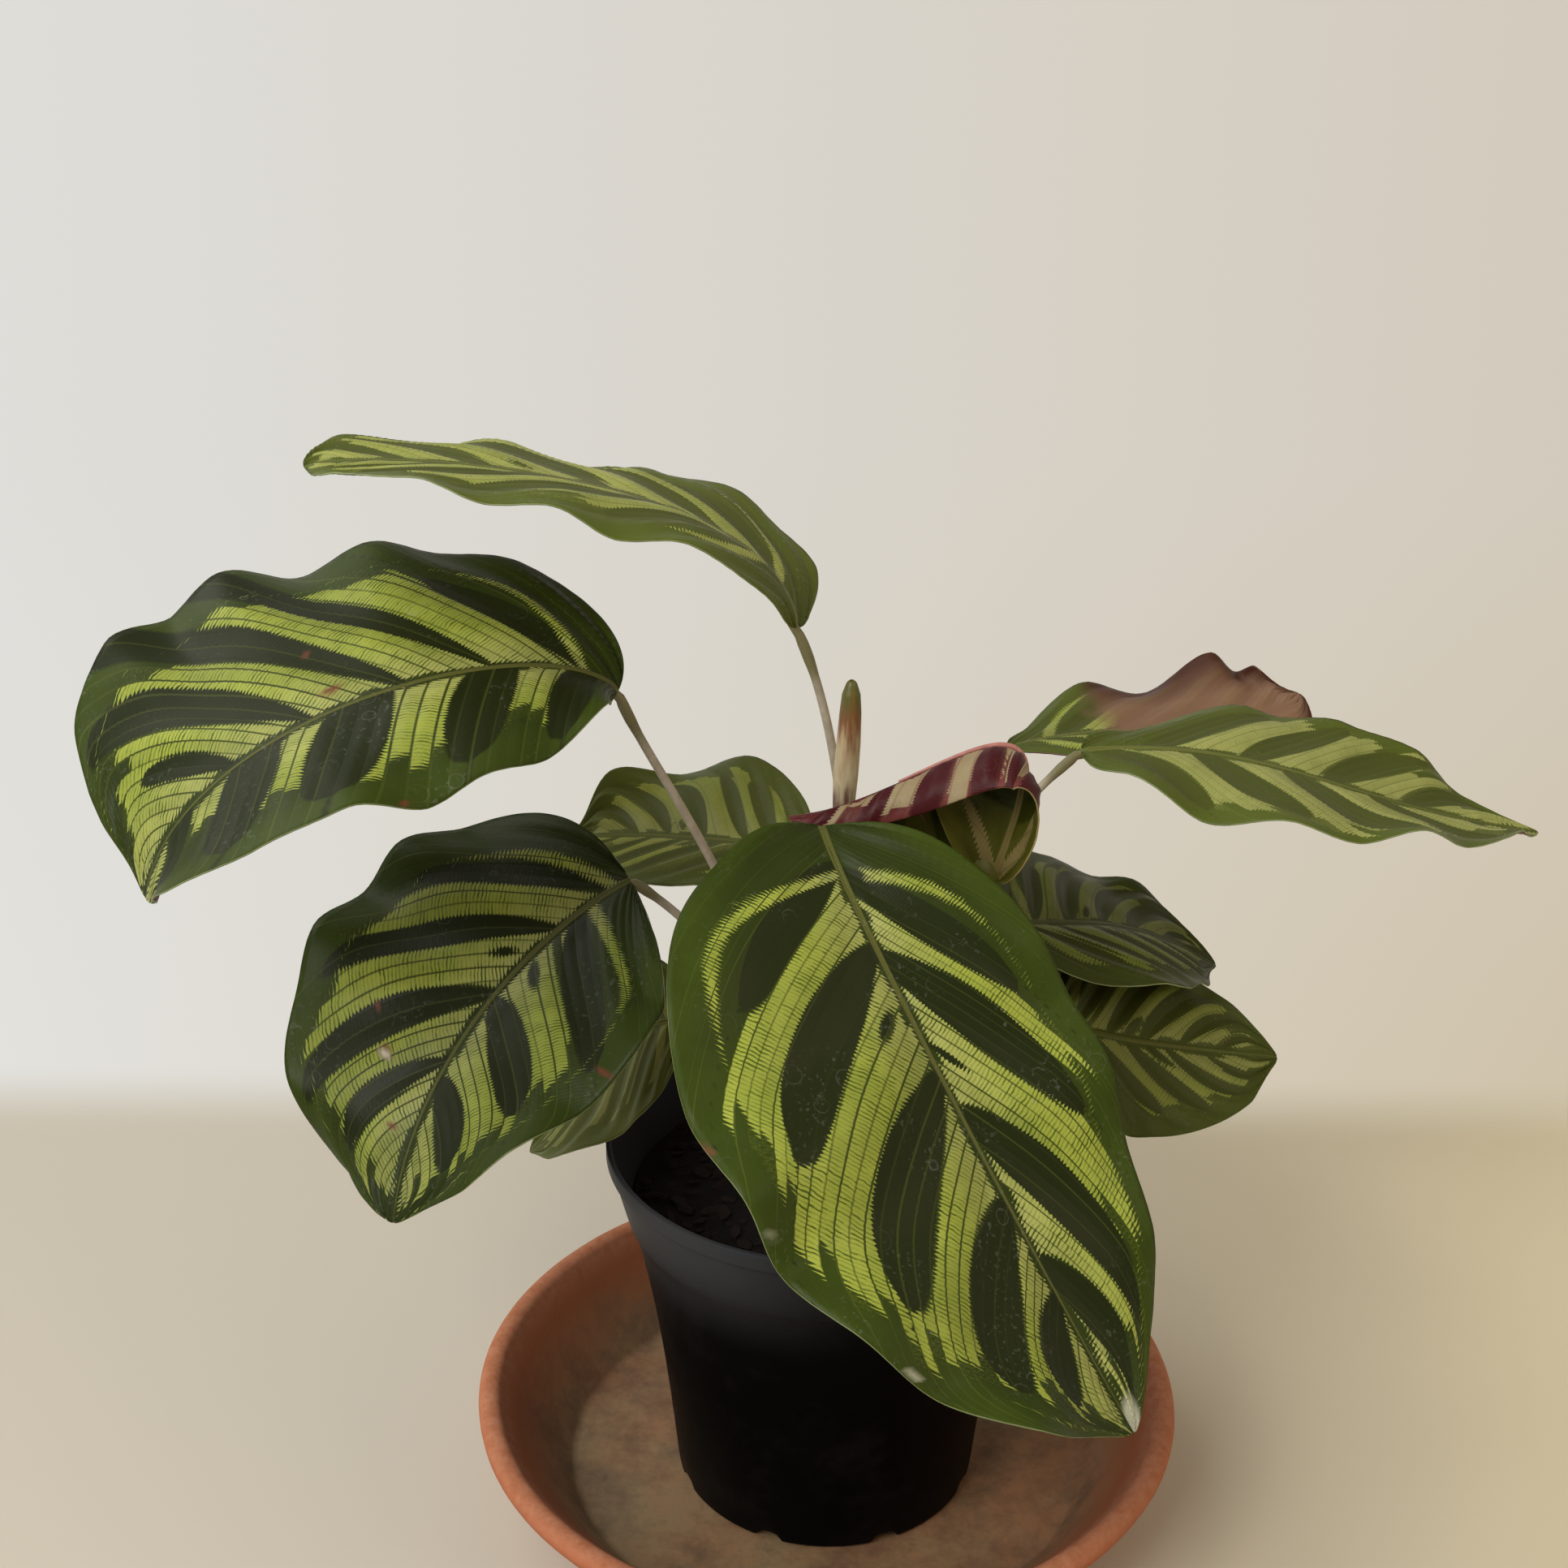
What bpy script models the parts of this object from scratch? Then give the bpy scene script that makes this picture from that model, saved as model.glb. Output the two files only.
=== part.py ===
"""A small potted peacock plant: a clay saucer, a plastic nursery pot, its soil and twelve leaves.

Run with blender --background --python part.py, or from the text editor.
The unit is the metre and +Z is up. The origin is the centre of the saucer's underside, the plant is
seen from the -Y side and +X is to the right. Sizes below are in millimetres and become metres in mm().
"""

import math
from collections import namedtuple

import bmesh
import bpy
from mathutils import Vector

OBJECT_NAME = "potted_peacock_plant"
GAP = 0.3

# Clay saucer
SAUCER_RIM_RADIUS = 88.0
SAUCER_FOOT_RADIUS = 69.0
SAUCER_HEIGHT = 31.0
SAUCER_FLOOR = 7.0
SAUCER_INNER_FOOT_RADIUS = 66.0
SAUCER_WALL = 6.0
SAUCER_CORNER = 3.0
SAUCER_FOOT_CHAMFER = 1.5
RIM_STEPS = 6

# Plastic nursery pot
POT_TOP_RADIUS = 54.5
POT_BASE_RADIUS = 37.5
POT_HEIGHT = 94.5
POT_FLARE = 0.45
POT_WALL = 1.4
POT_FLOOR_RISE = 4.0
FOOT_RING_WIDTH = 5.0
FOOT_CHAMFER = 1.0
COLLAR_HEIGHT = 19.0
COLLAR_STEP = 0.9
LIP_HEIGHT = 4.0
LIP_STEP = 1.0
WALL_RINGS = 3
DRAIN_COUNT = 8
DRAIN_RADIUS = 4.5
DRAIN_HEIGHT = 2.6

# Soil
SOIL_BELOW_RIM = 16.0
SOIL_CROWN = 3.0
SOIL_SHOULDER_RADIUS = 34.0
FACET_ROOM = 0.25
HOLE_CLEARANCE = 0.45
HOLE_DEPTH = 17.0
HOLE_SIDES = 12
ROOT_DEPTH = 13.0
CUTTER_OVERSHOOT = 4.0

# Leaves
BLADE_THICKNESS = 0.75
BLADE_ROWS = 20
BLADE_COLUMNS = 6
BLADE_END_SHARE = 0.003
STEM_RADIUS = 1.15
STEM_POINTS = 9
STEM_SIDES = 6
SPEAR_SIDES = 8
KEEL_POINTS = 7
KEEL_START = 0.01
KEEL_END = 0.72
KEEL_END_RADIUS = 0.45
KEEL_SINK = 0.1
TURN_STEPS = 48

POT_BASE_Z = SAUCER_FLOOR + GAP
POT_TOP_Z = POT_BASE_Z + POT_HEIGHT
COLLAR_Z = POT_TOP_Z - COLLAR_HEIGHT
SOIL_RIM_Z = POT_TOP_Z - SOIL_BELOW_RIM
SOIL_TOP_Z = SOIL_RIM_Z + SOIL_CROWN

# A leaf: the four Bezier points of its midrib from the stalk to the tip, the direction that its
# upper face looks in at each end (degrees round from the front, then degrees up), the widest half
# width on each side as seen from the stalk, how round its base and how sharp its tip are, how far
# the halves fold up, how the margins curl at each end (degrees, up is positive), the crests
# and hollows of each margin (place along it, height), where its stalk leaves the soil, how stiffly it
# rises there, and where it comes from as it meets the blade.
Leaf = namedtuple("Leaf", "name midrib face_base face_tip half_left half_right round_base sharp_tip "
                  "fold curl lift_left lift_right root rise arrive")
FLAT = ()

LEAVES = (
    Leaf("leaf_front",
         midrib=((-4, -20, 192), (0, -47, 189), (36, -61, 121), (63, -86, 82)),
         face_base=(11, 24), face_tip=(46, 20), half_left=35, half_right=59,
         round_base=0.63, sharp_tip=0.62, fold=18, curl=(-9, -9),
         lift_left=((0.22, -3), (0.4, 0), (0.49, -2), (0.6, 3), (0.7, -1), (0.8, 1), (0.9, -3)),
         lift_right=((0.1, -5), (0.26, -1), (0.4, -7), (0.5, 3), (0.6, -6), (0.7, 3), (0.8, -1), (0.9, 7)),
         root=(0, -9), rise=60, arrive=(1, 10, -24)),
    Leaf("leaf_left_high",
         midrib=((-49, -9, 219), (-62, -11, 236), (-135, -50, 230), (-146, -45, 185)),
         face_base=(-18, 74), face_tip=(-40, 54), half_left=34, half_right=62,
         round_base=0.63, sharp_tip=0.56, fold=7, curl=(-10, -10),
         lift_left=((0.1, 3), (0.29, -6), (0.4, -4), (0.5, -7), (0.62, 2), (0.75, 3), (0.9, 7)),
         lift_right=((0.17, 0), (0.3, -4), (0.38, -2), (0.5, -9), (0.62, 1), (0.69, -1), (0.85, 10),
                     (0.95, 6)),
         root=(-9, -4), rise=70, arrive=(8, 2, -24)),
    Leaf("leaf_left_low",
         midrib=((-48, 6, 166), (-73, -3, 155), (-96, -35, 135), (-98, -48, 107)),
         face_base=(-23, 60), face_tip=(-36, 32), half_left=43, half_right=48,
         round_base=0.45, sharp_tip=0.64, fold=12, curl=(-8, -8),
         lift_left=((0.1, 2), (0.2, -1), (0.3, 1), (0.59, -4), (0.8, 3)),
         lift_right=((0.19, -6), (0.3, 1), (0.39, -4), (0.51, 5), (0.62, 2), (0.75, 4), (0.9, -6)),
         root=(-13, 3), rise=50, arrive=(14, 2, -10)),
    Leaf("leaf_top",
         midrib=((-10, 9, 228), (-14, 22, 262), (-111, 18, 266), (-119, 15, 262)),
         face_base=(-14, 107), face_tip=(-19, 83), half_left=33, half_right=37,
         round_base=0.52, sharp_tip=0.58, fold=8, curl=(-14, -14),
         lift_left=((0.16, -3), (0.28, -2), (0.39, -5), (0.5, 0), (0.58, -1), (0.7, 4), (0.85, 4)),
         lift_right=((0.1, 6), (0.18, 5), (0.25, 6), (0.38, 1), (0.5, -6), (0.6, -2), (0.71, -7), (0.9, -1)),
         root=(5, 8), rise=70, arrive=(12, 0, -26)),
    Leaf("leaf_right",
         midrib=((60, 38, 187), (105, 35, 193), (123, 22, 179), (172, 33, 169)),
         face_base=(21, 83), face_tip=(20, 86), half_left=29, half_right=31,
         round_base=0.49, sharp_tip=0.65, fold=8, curl=(-13, -13),
         lift_left=((0.1, -6), (0.33, 0), (0.41, -1), (0.6, 4), (0.78, 6), (0.9, 0)),
         lift_right=((0.09, 3), (0.26, -4), (0.45, 2), (0.58, 0), (0.7, 6), (0.8, 2), (0.92, 5)),
         root=(11, 5), rise=60, arrive=(-18, -8, -12)),
    Leaf("leaf_right_low",
         midrib=((39, 11, 154), (59, 17, 149), (70, 34, 147), (97, 36, 130)),
         face_base=(20, 80), face_tip=(24, 82), half_left=33, half_right=32,
         round_base=0.48, sharp_tip=0.63, fold=10, curl=(-12, -12),
         lift_left=((0.4, 0), (0.55, -1), (0.7, -3), (0.8, 1), (0.9, -1)),
         lift_right=((0.2, -1), (0.4, 1), (0.6, 0), (0.8, 1)),
         root=(14, -1), rise=40, arrive=(-12, -4, -14)),
    Leaf("leaf_right_under",
         midrib=((50, -4, 137), (62, 0, 128), (82, 10, 121), (110, 16, 115)),
         face_base=(20, 55), face_tip=(26, 50), half_left=26, half_right=25,
         round_base=0.47, sharp_tip=0.61, fold=8, curl=(-12, -12),
         lift_left=((0.7, 0), (0.8, -2)),
         lift_right=((0.3, 0), (0.4, -2), (0.5, 0), (0.7, 1)),
         root=(13, -9), rise=30, arrive=(-14, -4, -8)),
    Leaf("leaf_back",
         midrib=((-5, 38, 161), (-30, 42, 159), (-42, 56, 157), (-66, 56, 154)),
         face_base=(-9, 80), face_tip=(-8, 78), half_left=26, half_right=33,
         round_base=0.50, sharp_tip=0.54, fold=13, curl=(-12, -12),
         lift_left=FLAT,
         lift_right=((0.2, -1), (0.45, 1), (0.7, -4), (0.9, 5)),
         root=(-4, 14), rise=40, arrive=(2, -8, -18)),
    Leaf("leaf_left_under",
         midrib=((-35, 10, 127), (-50, 10, 127), (-54, 8, 114), (-75, 14, 87)),
         face_base=(-22, 64), face_tip=(-35, 75), half_left=26, half_right=26,
         round_base=0.49, sharp_tip=0.66, fold=12, curl=(-12, -12),
         lift_left=((0.4, 1), (0.6, -1), (0.75, 1)),
         lift_right=((0.7, 0), (0.9, -3)),
         root=(-13, 11), rise=24, arrive=(12, 0, -4)),
    Leaf("leaf_right_far",
         midrib=((46, 76, 172), (68, 78, 180), (118, 86, 172), (124, 90, 183)),
         face_base=(10, 102), face_tip=(9, 62), half_left=28, half_right=24,
         round_base=0.51, sharp_tip=0.62, fold=8, curl=(-13, -13),
         lift_left=((0.1, -2), (0.3, 3), (0.5, -6), (0.7, 4), (0.8, -3), (0.9, 2)),
         lift_right=FLAT,
         root=(6, 16), rise=50, arrive=(-12, -14, -16)),
    Leaf("leaf_new",
         midrib=((35, -12, 176), (53, -6, 234), (17, -14, 196), (-10, -12, 195)),
         face_base=(-38, -13), face_tip=(-10, -61), half_left=24, half_right=17,
         round_base=0.43, sharp_tip=0.51, fold=19, curl=(22, 165),
         lift_left=FLAT, lift_right=FLAT,
         root=(8, -12), rise=50, arrive=(-6, 2, -14)),
)

# The youngest leaf, still furled: height above the soil, drift to the right and radius.
SPEAR_ROOT = (2, 0)
SPEAR_STATIONS = ((-ROOT_DEPTH, 0.0, 1.4), (0, 0.0, 1.4), (60, -0.6, 1.5), (94, -0.8, 1.8),
                  (100, -0.8, 2.7), (108, -0.5, 3.2), (116, 0.0, 3.0), (123, 0.4, 2.2),
                  (127, 0.7, 1.2), (130, 0.9, 0.4))


def mm(*values):
    """Millimetres to metres, as a number or as a vector."""
    if len(values) == 1:
        return values[0] * 0.001
    return Vector(values) * 0.001


def clear_scene():
    """Empty the scene of what a new file holds."""
    for item in list(bpy.data.objects):
        bpy.data.objects.remove(item, do_unlink=True)
    for group in list(bpy.data.collections):
        bpy.data.collections.remove(group)


def make_collection(name):
    """A new collection in the scene."""
    group = bpy.data.collections.new(name)
    bpy.context.scene.collection.children.link(group)
    return group


def make_material(name, colour, roughness):
    """A plain material in the real finish's colour."""
    material = bpy.data.materials.new(name)
    material.use_nodes = True
    shader = material.node_tree.nodes["Principled BSDF"]
    shader.inputs["Base Color"].default_value = (*colour, 1.0)
    shader.inputs["Roughness"].default_value = roughness
    shader.inputs["Metallic"].default_value = 0.0
    material.diffuse_color = (*colour, 1.0)
    return material


def add_object(name, mesh, group, material=None):
    """An object for the mesh, in its collection and with its material."""
    item = bpy.data.objects.new(name, mesh)
    group.objects.link(item)
    if material:
        mesh.materials.clear()
        mesh.materials.append(material)
    return item


def evaluated_mesh(item):
    """The object's mesh with its modifiers and bevel applied, doubles merged."""
    depsgraph = bpy.context.evaluated_depsgraph_get()
    mesh = bpy.data.meshes.new_from_object(item.evaluated_get(depsgraph))
    work = bmesh.new()
    work.from_mesh(mesh)
    bmesh.ops.remove_doubles(work, verts=work.verts, dist=mm(0.01))
    work.to_mesh(mesh)
    work.free()
    return mesh


def shade(mesh, angle=35):
    """Smooth, with creases where faces meet at more than the angle."""
    mesh.shade_smooth()
    mesh.set_sharp_from_angle(angle=math.radians(angle))


def arc(radius, height, size, start, end, steps):
    """Profile points on a circle of the given size, between two angles in degrees."""
    angles = [math.radians(start + (end - start) * index / steps) for index in range(steps + 1)]
    return [(radius + size * math.cos(angle), height + size * math.sin(angle)) for angle in angles]


def turned(name, profile, group, material):
    """A solid of revolution. The profile runs out along the top, down the outside and back in."""
    mesh = bpy.data.meshes.new(name)
    outline = bmesh.new()
    points = [outline.verts.new(mm(radius, 0, height)) for radius, height in profile]
    for start, end in zip(points, points[1:]):
        outline.edges.new((start, end))
    outline.to_mesh(mesh)
    outline.free()
    item = add_object(name, mesh, group)
    screw = item.modifiers.new("Turn", "SCREW")
    screw.steps = TURN_STEPS
    screw.render_steps = TURN_STEPS
    screw.use_merge_vertices = True
    screw.merge_threshold = 0.00001
    solid = evaluated_mesh(item)
    bpy.data.objects.remove(item)
    shade(solid)
    solid.name = name
    return add_object(name, solid, group, material)


def cut(item, cutters):
    """Take each cutter out of the object, and leave the cutters hidden beside it."""
    for cutter in cutters:
        cutter.hide_render = True
        cutter.display_type = "WIRE"
        boolean = item.modifiers.new("Cut " + cutter.name, "BOOLEAN")
        boolean.operation = "DIFFERENCE"
        boolean.object = cutter


def cylinder_cutter(name, radius, low, high, centre, group):
    """An upright cylinder between two heights, to cut a hole with."""
    mesh = bpy.data.meshes.new(name)
    shape = bmesh.new()
    bmesh.ops.create_cone(shape, cap_ends=True, segments=HOLE_SIDES, radius1=mm(radius),
                          radius2=mm(radius), depth=mm(high - low))
    bmesh.ops.translate(shape, verts=shape.verts, vec=mm(centre[0], centre[1], (low + high) / 2))
    shape.to_mesh(mesh)
    shape.free()
    return add_object(name, mesh, group)


def build_saucer(group, material):
    """The clay saucer: a flat floor, a leaning wall and a half-round rim."""
    lip = SAUCER_WALL / 2
    profile = [(0, SAUCER_FLOOR)]
    profile += arc(SAUCER_INNER_FOOT_RADIUS - SAUCER_CORNER, SAUCER_FLOOR + SAUCER_CORNER,
                   SAUCER_CORNER, -90, -35, 2)
    profile += arc(SAUCER_RIM_RADIUS - lip, SAUCER_HEIGHT - lip, lip, 150, -30, RIM_STEPS)
    profile += [(SAUCER_FOOT_RADIUS + SAUCER_FOOT_CHAMFER / 2, SAUCER_FOOT_CHAMFER),
                (SAUCER_FOOT_RADIUS, 0),
                (0, 0)]
    return turned("saucer", profile, group, material)


def pot_radius(z):
    """The pot's outer radius at a height: a slight taper that flares towards the rim."""
    up = (z - POT_BASE_Z) / POT_HEIGHT
    return POT_BASE_RADIUS + (POT_TOP_RADIUS - POT_BASE_RADIUS) * ((1 - POT_FLARE) * up
                                                                   + POT_FLARE * up ** 3)


def wall_line(inset):
    """Profile points down the pot's plain wall, from below the collar to above the foot."""
    steps = [COLLAR_Z - (COLLAR_Z - POT_BASE_Z) * ring / (WALL_RINGS + 1)
             for ring in range(1, WALL_RINGS + 1)]
    return [(pot_radius(z) - inset, z) for z in steps]


def build_pot(group, cutter_group, material):
    """The nursery pot: a thin wall, a collar, a raised floor and drain notches round the foot."""
    floor = POT_BASE_Z + POT_FLOOR_RISE
    collar_radius = pot_radius(COLLAR_Z)
    profile = [(0, floor + POT_WALL),
               (POT_BASE_RADIUS - FOOT_RING_WIDTH + POT_WALL, floor + POT_WALL)]
    profile += reversed(wall_line(POT_WALL))
    profile += [(collar_radius - POT_WALL, COLLAR_Z),
                (POT_TOP_RADIUS - POT_WALL, POT_TOP_Z),
                (POT_TOP_RADIUS, POT_TOP_Z),
                (POT_TOP_RADIUS, POT_TOP_Z - LIP_HEIGHT),
                (POT_TOP_RADIUS - LIP_STEP, POT_TOP_Z - LIP_HEIGHT - LIP_STEP / 2),
                (collar_radius + COLLAR_STEP, COLLAR_Z),
                (collar_radius, COLLAR_Z - COLLAR_STEP)]
    profile += wall_line(0)
    profile += [(POT_BASE_RADIUS, POT_BASE_Z + FOOT_CHAMFER),
                (POT_BASE_RADIUS - FOOT_CHAMFER, POT_BASE_Z),
                (POT_BASE_RADIUS - FOOT_RING_WIDTH, POT_BASE_Z),
                (POT_BASE_RADIUS - FOOT_RING_WIDTH - POT_WALL, floor),
                (0, floor)]
    pot = turned("pot", profile, group, material)
    drains = []
    for index in range(DRAIN_COUNT):
        angle = 2 * math.pi * (index + 0.5) / DRAIN_COUNT
        centre = (POT_BASE_RADIUS * math.cos(angle), POT_BASE_RADIUS * math.sin(angle))
        drains.append(cylinder_cutter("drain_%d" % index, DRAIN_RADIUS, POT_BASE_Z - CUTTER_OVERSHOOT,
                                      POT_BASE_Z + DRAIN_HEIGHT, centre, cutter_group))
    cut(pot, drains)
    return pot


def build_soil(group, cutter_group, material):
    """The soil fills the pot and has a plain hole for every stalk."""
    inset = POT_WALL + GAP + FACET_ROOM
    floor = POT_BASE_Z + POT_FLOOR_RISE + POT_WALL + GAP
    profile = [(0, SOIL_TOP_Z),
               (SOIL_SHOULDER_RADIUS / 2, SOIL_TOP_Z - SOIL_CROWN / 4),
               (SOIL_SHOULDER_RADIUS, SOIL_RIM_Z),
               (pot_radius(COLLAR_Z) - inset, COLLAR_Z)]
    profile += wall_line(inset)
    profile += [(POT_BASE_RADIUS - FOOT_RING_WIDTH + POT_WALL - GAP, floor),
                (0, floor)]
    soil = turned("soil", profile, group, material)
    roots = [(leaf.name, leaf.root, STEM_RADIUS) for leaf in LEAVES]
    roots.append(("leaf_spear", SPEAR_ROOT, SPEAR_STATIONS[0][2]))
    holes = [cylinder_cutter("hole_" + name, radius + HOLE_CLEARANCE, SOIL_TOP_Z - HOLE_DEPTH,
                             SOIL_TOP_Z + CUTTER_OVERSHOOT, root, cutter_group)
             for name, root, radius in roots]
    cut(soil, holes)
    return soil


def bezier(points, t):
    """The point at t on the cubic curve through four control points."""
    a, b, c, d = points
    u = 1 - t
    return a * u ** 3 + b * 3 * u * u * t + c * 3 * u * t * t + d * t ** 3


def bezier_slope(points, t):
    """The curve's unit direction at t."""
    a, b, c, d = points
    u = 1 - t
    return ((b - a) * 3 * u * u + (c - b) * 6 * u * t + (d - c) * 3 * t * t).normalized()


def facing(direction):
    """The unit vector for degrees round from the front and degrees up."""
    around, up = (math.radians(value) for value in direction)
    return Vector((math.sin(around) * math.cos(up), -math.cos(around) * math.cos(up), math.sin(up)))


def wave_height(waves, s):
    """A margin's height at s, eased from each crest to the next hollow and zero at both ends."""
    knots = ((0, 0),) + waves + ((1, 0),)
    start, end = next(pair for pair in zip(knots, knots[1:]) if s <= pair[1][0])
    share = (s - start[0]) / (end[0] - start[0])
    return start[1] + (end[1] - start[1]) * share * share * (3 - 2 * share)


def outline_share(leaf, s):
    """Half width at s as a share of the widest: round at the base, drawn out to the tip."""
    a, b = leaf.round_base, leaf.sharp_tip
    widest = a / (a + b)
    return (s / widest) ** a * ((1 - s) / (1 - widest)) ** b


def blade_frame(leaf, s):
    """The midrib's point, its direction and the blade's normal at s, from the stalk to the tip."""
    points = [mm(*point) for point in leaf.midrib]
    along = bezier_slope(points, s)
    face = facing(leaf.face_base).lerp(facing(leaf.face_tip), s)
    normal = (face - along * face.dot(along)).normalized()
    return bezier(points, s), along, normal


def blade_point(leaf, s, v):
    """A point of the blade: s runs from the stalk to the tip, v from the left margin to the right."""
    centre, along, normal = blade_frame(leaf, s)
    across = along.cross(normal)
    half, lifts, side = leaf.half_right, leaf.lift_right, 1
    if v < 0:
        half, lifts, side = leaf.half_left, leaf.lift_left, -1
    width = mm(half * outline_share(leaf, s))
    curl = math.radians(leaf.curl[0] + (leaf.curl[1] - leaf.curl[0]) * s)
    turn = curl * abs(v)
    out = width * math.sin(turn) / curl
    up = width * (1 - math.cos(turn)) / curl
    fold = math.radians(leaf.fold)
    sideways = out * math.cos(fold) - up * math.sin(fold)
    upward = out * math.sin(fold) + up * math.cos(fold) + mm(wave_height(lifts, s)) * v * v
    return centre + across * side * sideways + normal * upward


def build_blade(leaf, group):
    """The blade's sheet, cut into triangles alike on both faces and given its thickness."""
    mesh = bpy.data.meshes.new(leaf.name)
    sheet = bmesh.new()
    bmesh.ops.create_grid(sheet, x_segments=BLADE_ROWS, y_segments=BLADE_COLUMNS, size=1.0)
    bmesh.ops.triangulate(sheet, faces=sheet.faces)
    for vertex in sheet.verts:
        run = (1 - math.cos(math.pi * (vertex.co.x + 1) / 2)) / 2
        s = BLADE_END_SHARE + (1 - 2 * BLADE_END_SHARE) * run
        vertex.co = blade_point(leaf, s, vertex.co.y)
    sheet.to_mesh(mesh)
    sheet.free()
    item = add_object(leaf.name, mesh, group)
    solidify = item.modifiers.new("Thickness", "SOLIDIFY")
    solidify.thickness = mm(BLADE_THICKNESS)
    solidify.offset = 0.0
    return item


def tube(name, points, radii, sides, group):
    """A closed round stalk through the points, made a mesh."""
    curve = bpy.data.curves.new(name, "CURVE")
    curve.dimensions = "3D"
    curve.bevel_depth = mm(1)
    curve.bevel_resolution = sides // 2 - 2
    curve.use_fill_caps = True
    spline = curve.splines.new("POLY")
    spline.points.add(len(points) - 1)
    for knot, point, radius in zip(spline.points, points, radii):
        knot.co = (*point, 1)
        knot.radius = radius
    item = add_object(name, curve, group)
    mesh = evaluated_mesh(item)
    matrix = item.matrix_world.copy()
    bpy.data.objects.remove(item)
    solid = add_object(name, mesh, group)
    solid.matrix_world = matrix
    return solid


def stalk_points(leaf):
    """The stalk's line: up from the soil, over into the blade, then on below its midrib."""
    foot = mm(leaf.root[0], leaf.root[1], SOIL_TOP_Z)
    attach = mm(*leaf.midrib[0])
    path = (foot, foot + mm(0, 0, leaf.rise), attach + mm(*leaf.arrive), attach)
    line = [foot - mm(0, 0, ROOT_DEPTH)]
    line += [bezier(path, index / STEM_POINTS) for index in range(STEM_POINTS)]
    radii = [STEM_RADIUS] * len(line)
    for index in range(KEEL_POINTS):
        share = index / (KEEL_POINTS - 1)
        radius = STEM_RADIUS + (KEEL_END_RADIUS - STEM_RADIUS) * share
        centre, _, normal = blade_frame(leaf, KEEL_START + (KEEL_END - KEEL_START) * share)
        line.append(centre - normal * mm(radius - KEEL_SINK))
        radii.append(radius)
    return line, radii


def build_leaf(leaf, group, material):
    """One leaf, blade and stalk grown together as one body."""
    blade = build_blade(leaf, group)
    line, radii = stalk_points(leaf)
    stalk = tube(leaf.name + "_stalk", line, radii, STEM_SIDES, group)
    union = blade.modifiers.new("Grow together", "BOOLEAN")
    union.operation = "UNION"
    union.object = stalk
    mesh = evaluated_mesh(blade)
    bpy.data.objects.remove(blade)
    bpy.data.objects.remove(stalk)
    shade(mesh, 60)
    mesh.name = leaf.name
    return add_object(leaf.name, mesh, group, material)


def build_spear(group, material):
    """The furled leaf: a thin stalk that swells into the rolled blade and ends in a point."""
    line = [mm(SPEAR_ROOT[0] + drift, SPEAR_ROOT[1], SOIL_TOP_Z + height)
            for height, drift, _ in SPEAR_STATIONS]
    radii = [radius for _, _, radius in SPEAR_STATIONS]
    spear = tube("leaf_spear", line, radii, SPEAR_SIDES, group)
    shade(spear.data, 60)
    spear.data.materials.append(material)
    return spear


def main():
    """Model every piece in its place."""
    clear_scene()
    parts = make_collection(OBJECT_NAME)
    cutters = make_collection("cutters")
    clay = make_material("clay", (0.42, 0.13, 0.06), 0.85)
    plastic = make_material("black_plastic", (0.012, 0.012, 0.013), 0.5)
    earth = make_material("earth", (0.02, 0.013, 0.009), 0.95)
    build_saucer(parts, clay)
    build_pot(parts, cutters, plastic)
    build_soil(parts, cutters, earth)
    for index, leaf in enumerate(LEAVES):
        green = 0.10 + 0.012 * index
        build_leaf(leaf, parts, make_material("green_" + leaf.name, (0.045, green, 0.02), 0.45))
    build_spear(parts, make_material("green_leaf_spear", (0.25, 0.16, 0.06), 0.5))


main()
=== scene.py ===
"""A small potted peacock plant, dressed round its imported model.

Laid out as a Blender add-on and run as a script. The unit is the metre and +Z is up. The origin is the
centre of the saucer's underside, the plant is seen from the -Y side and +X is to the right. Sizes in
the tables below are in millimetres.
"""

import functools
import math
import random
from collections import namedtuple

import bmesh
import bpy
import numpy as np
from bpy.props import FloatProperty, FloatVectorProperty, IntProperty, PointerProperty
from bpy.types import Operator, Panel, PropertyGroup
from mathutils import Matrix, Vector, noise


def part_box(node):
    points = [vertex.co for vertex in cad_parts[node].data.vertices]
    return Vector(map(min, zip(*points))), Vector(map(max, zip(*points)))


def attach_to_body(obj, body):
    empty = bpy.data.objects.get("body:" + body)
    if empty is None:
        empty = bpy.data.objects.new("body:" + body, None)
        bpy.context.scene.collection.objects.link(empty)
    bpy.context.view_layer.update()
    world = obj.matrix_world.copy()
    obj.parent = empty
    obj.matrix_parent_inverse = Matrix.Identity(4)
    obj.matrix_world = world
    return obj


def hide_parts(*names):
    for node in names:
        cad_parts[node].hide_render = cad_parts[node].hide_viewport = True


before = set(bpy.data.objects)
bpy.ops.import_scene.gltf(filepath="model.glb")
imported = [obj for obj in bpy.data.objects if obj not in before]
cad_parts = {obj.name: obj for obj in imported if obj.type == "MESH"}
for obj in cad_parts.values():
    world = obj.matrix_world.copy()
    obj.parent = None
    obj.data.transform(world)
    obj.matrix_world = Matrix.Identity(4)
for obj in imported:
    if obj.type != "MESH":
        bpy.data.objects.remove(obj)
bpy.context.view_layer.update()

bl_info = {
    "name": "Potted Peacock Plant",
    "version": (1, 0, 0),
    "blender": (4, 5, 0),
    "location": "3D View > Sidebar > Plant",
    "description": "Builds a small peacock plant in a nursery pot on a clay saucer",
    "category": "Add Mesh",
}

BODY = "root"
MM = 0.001

# Settings that many shader nodes share. A Mix node has its colour sockets at these places.
TINTS = {"data_type": "RGBA", "sockets": (0, 6, 7), "out": 2}
SMOOTH = {"interpolation_type": "SMOOTHSTEP"}

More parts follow.
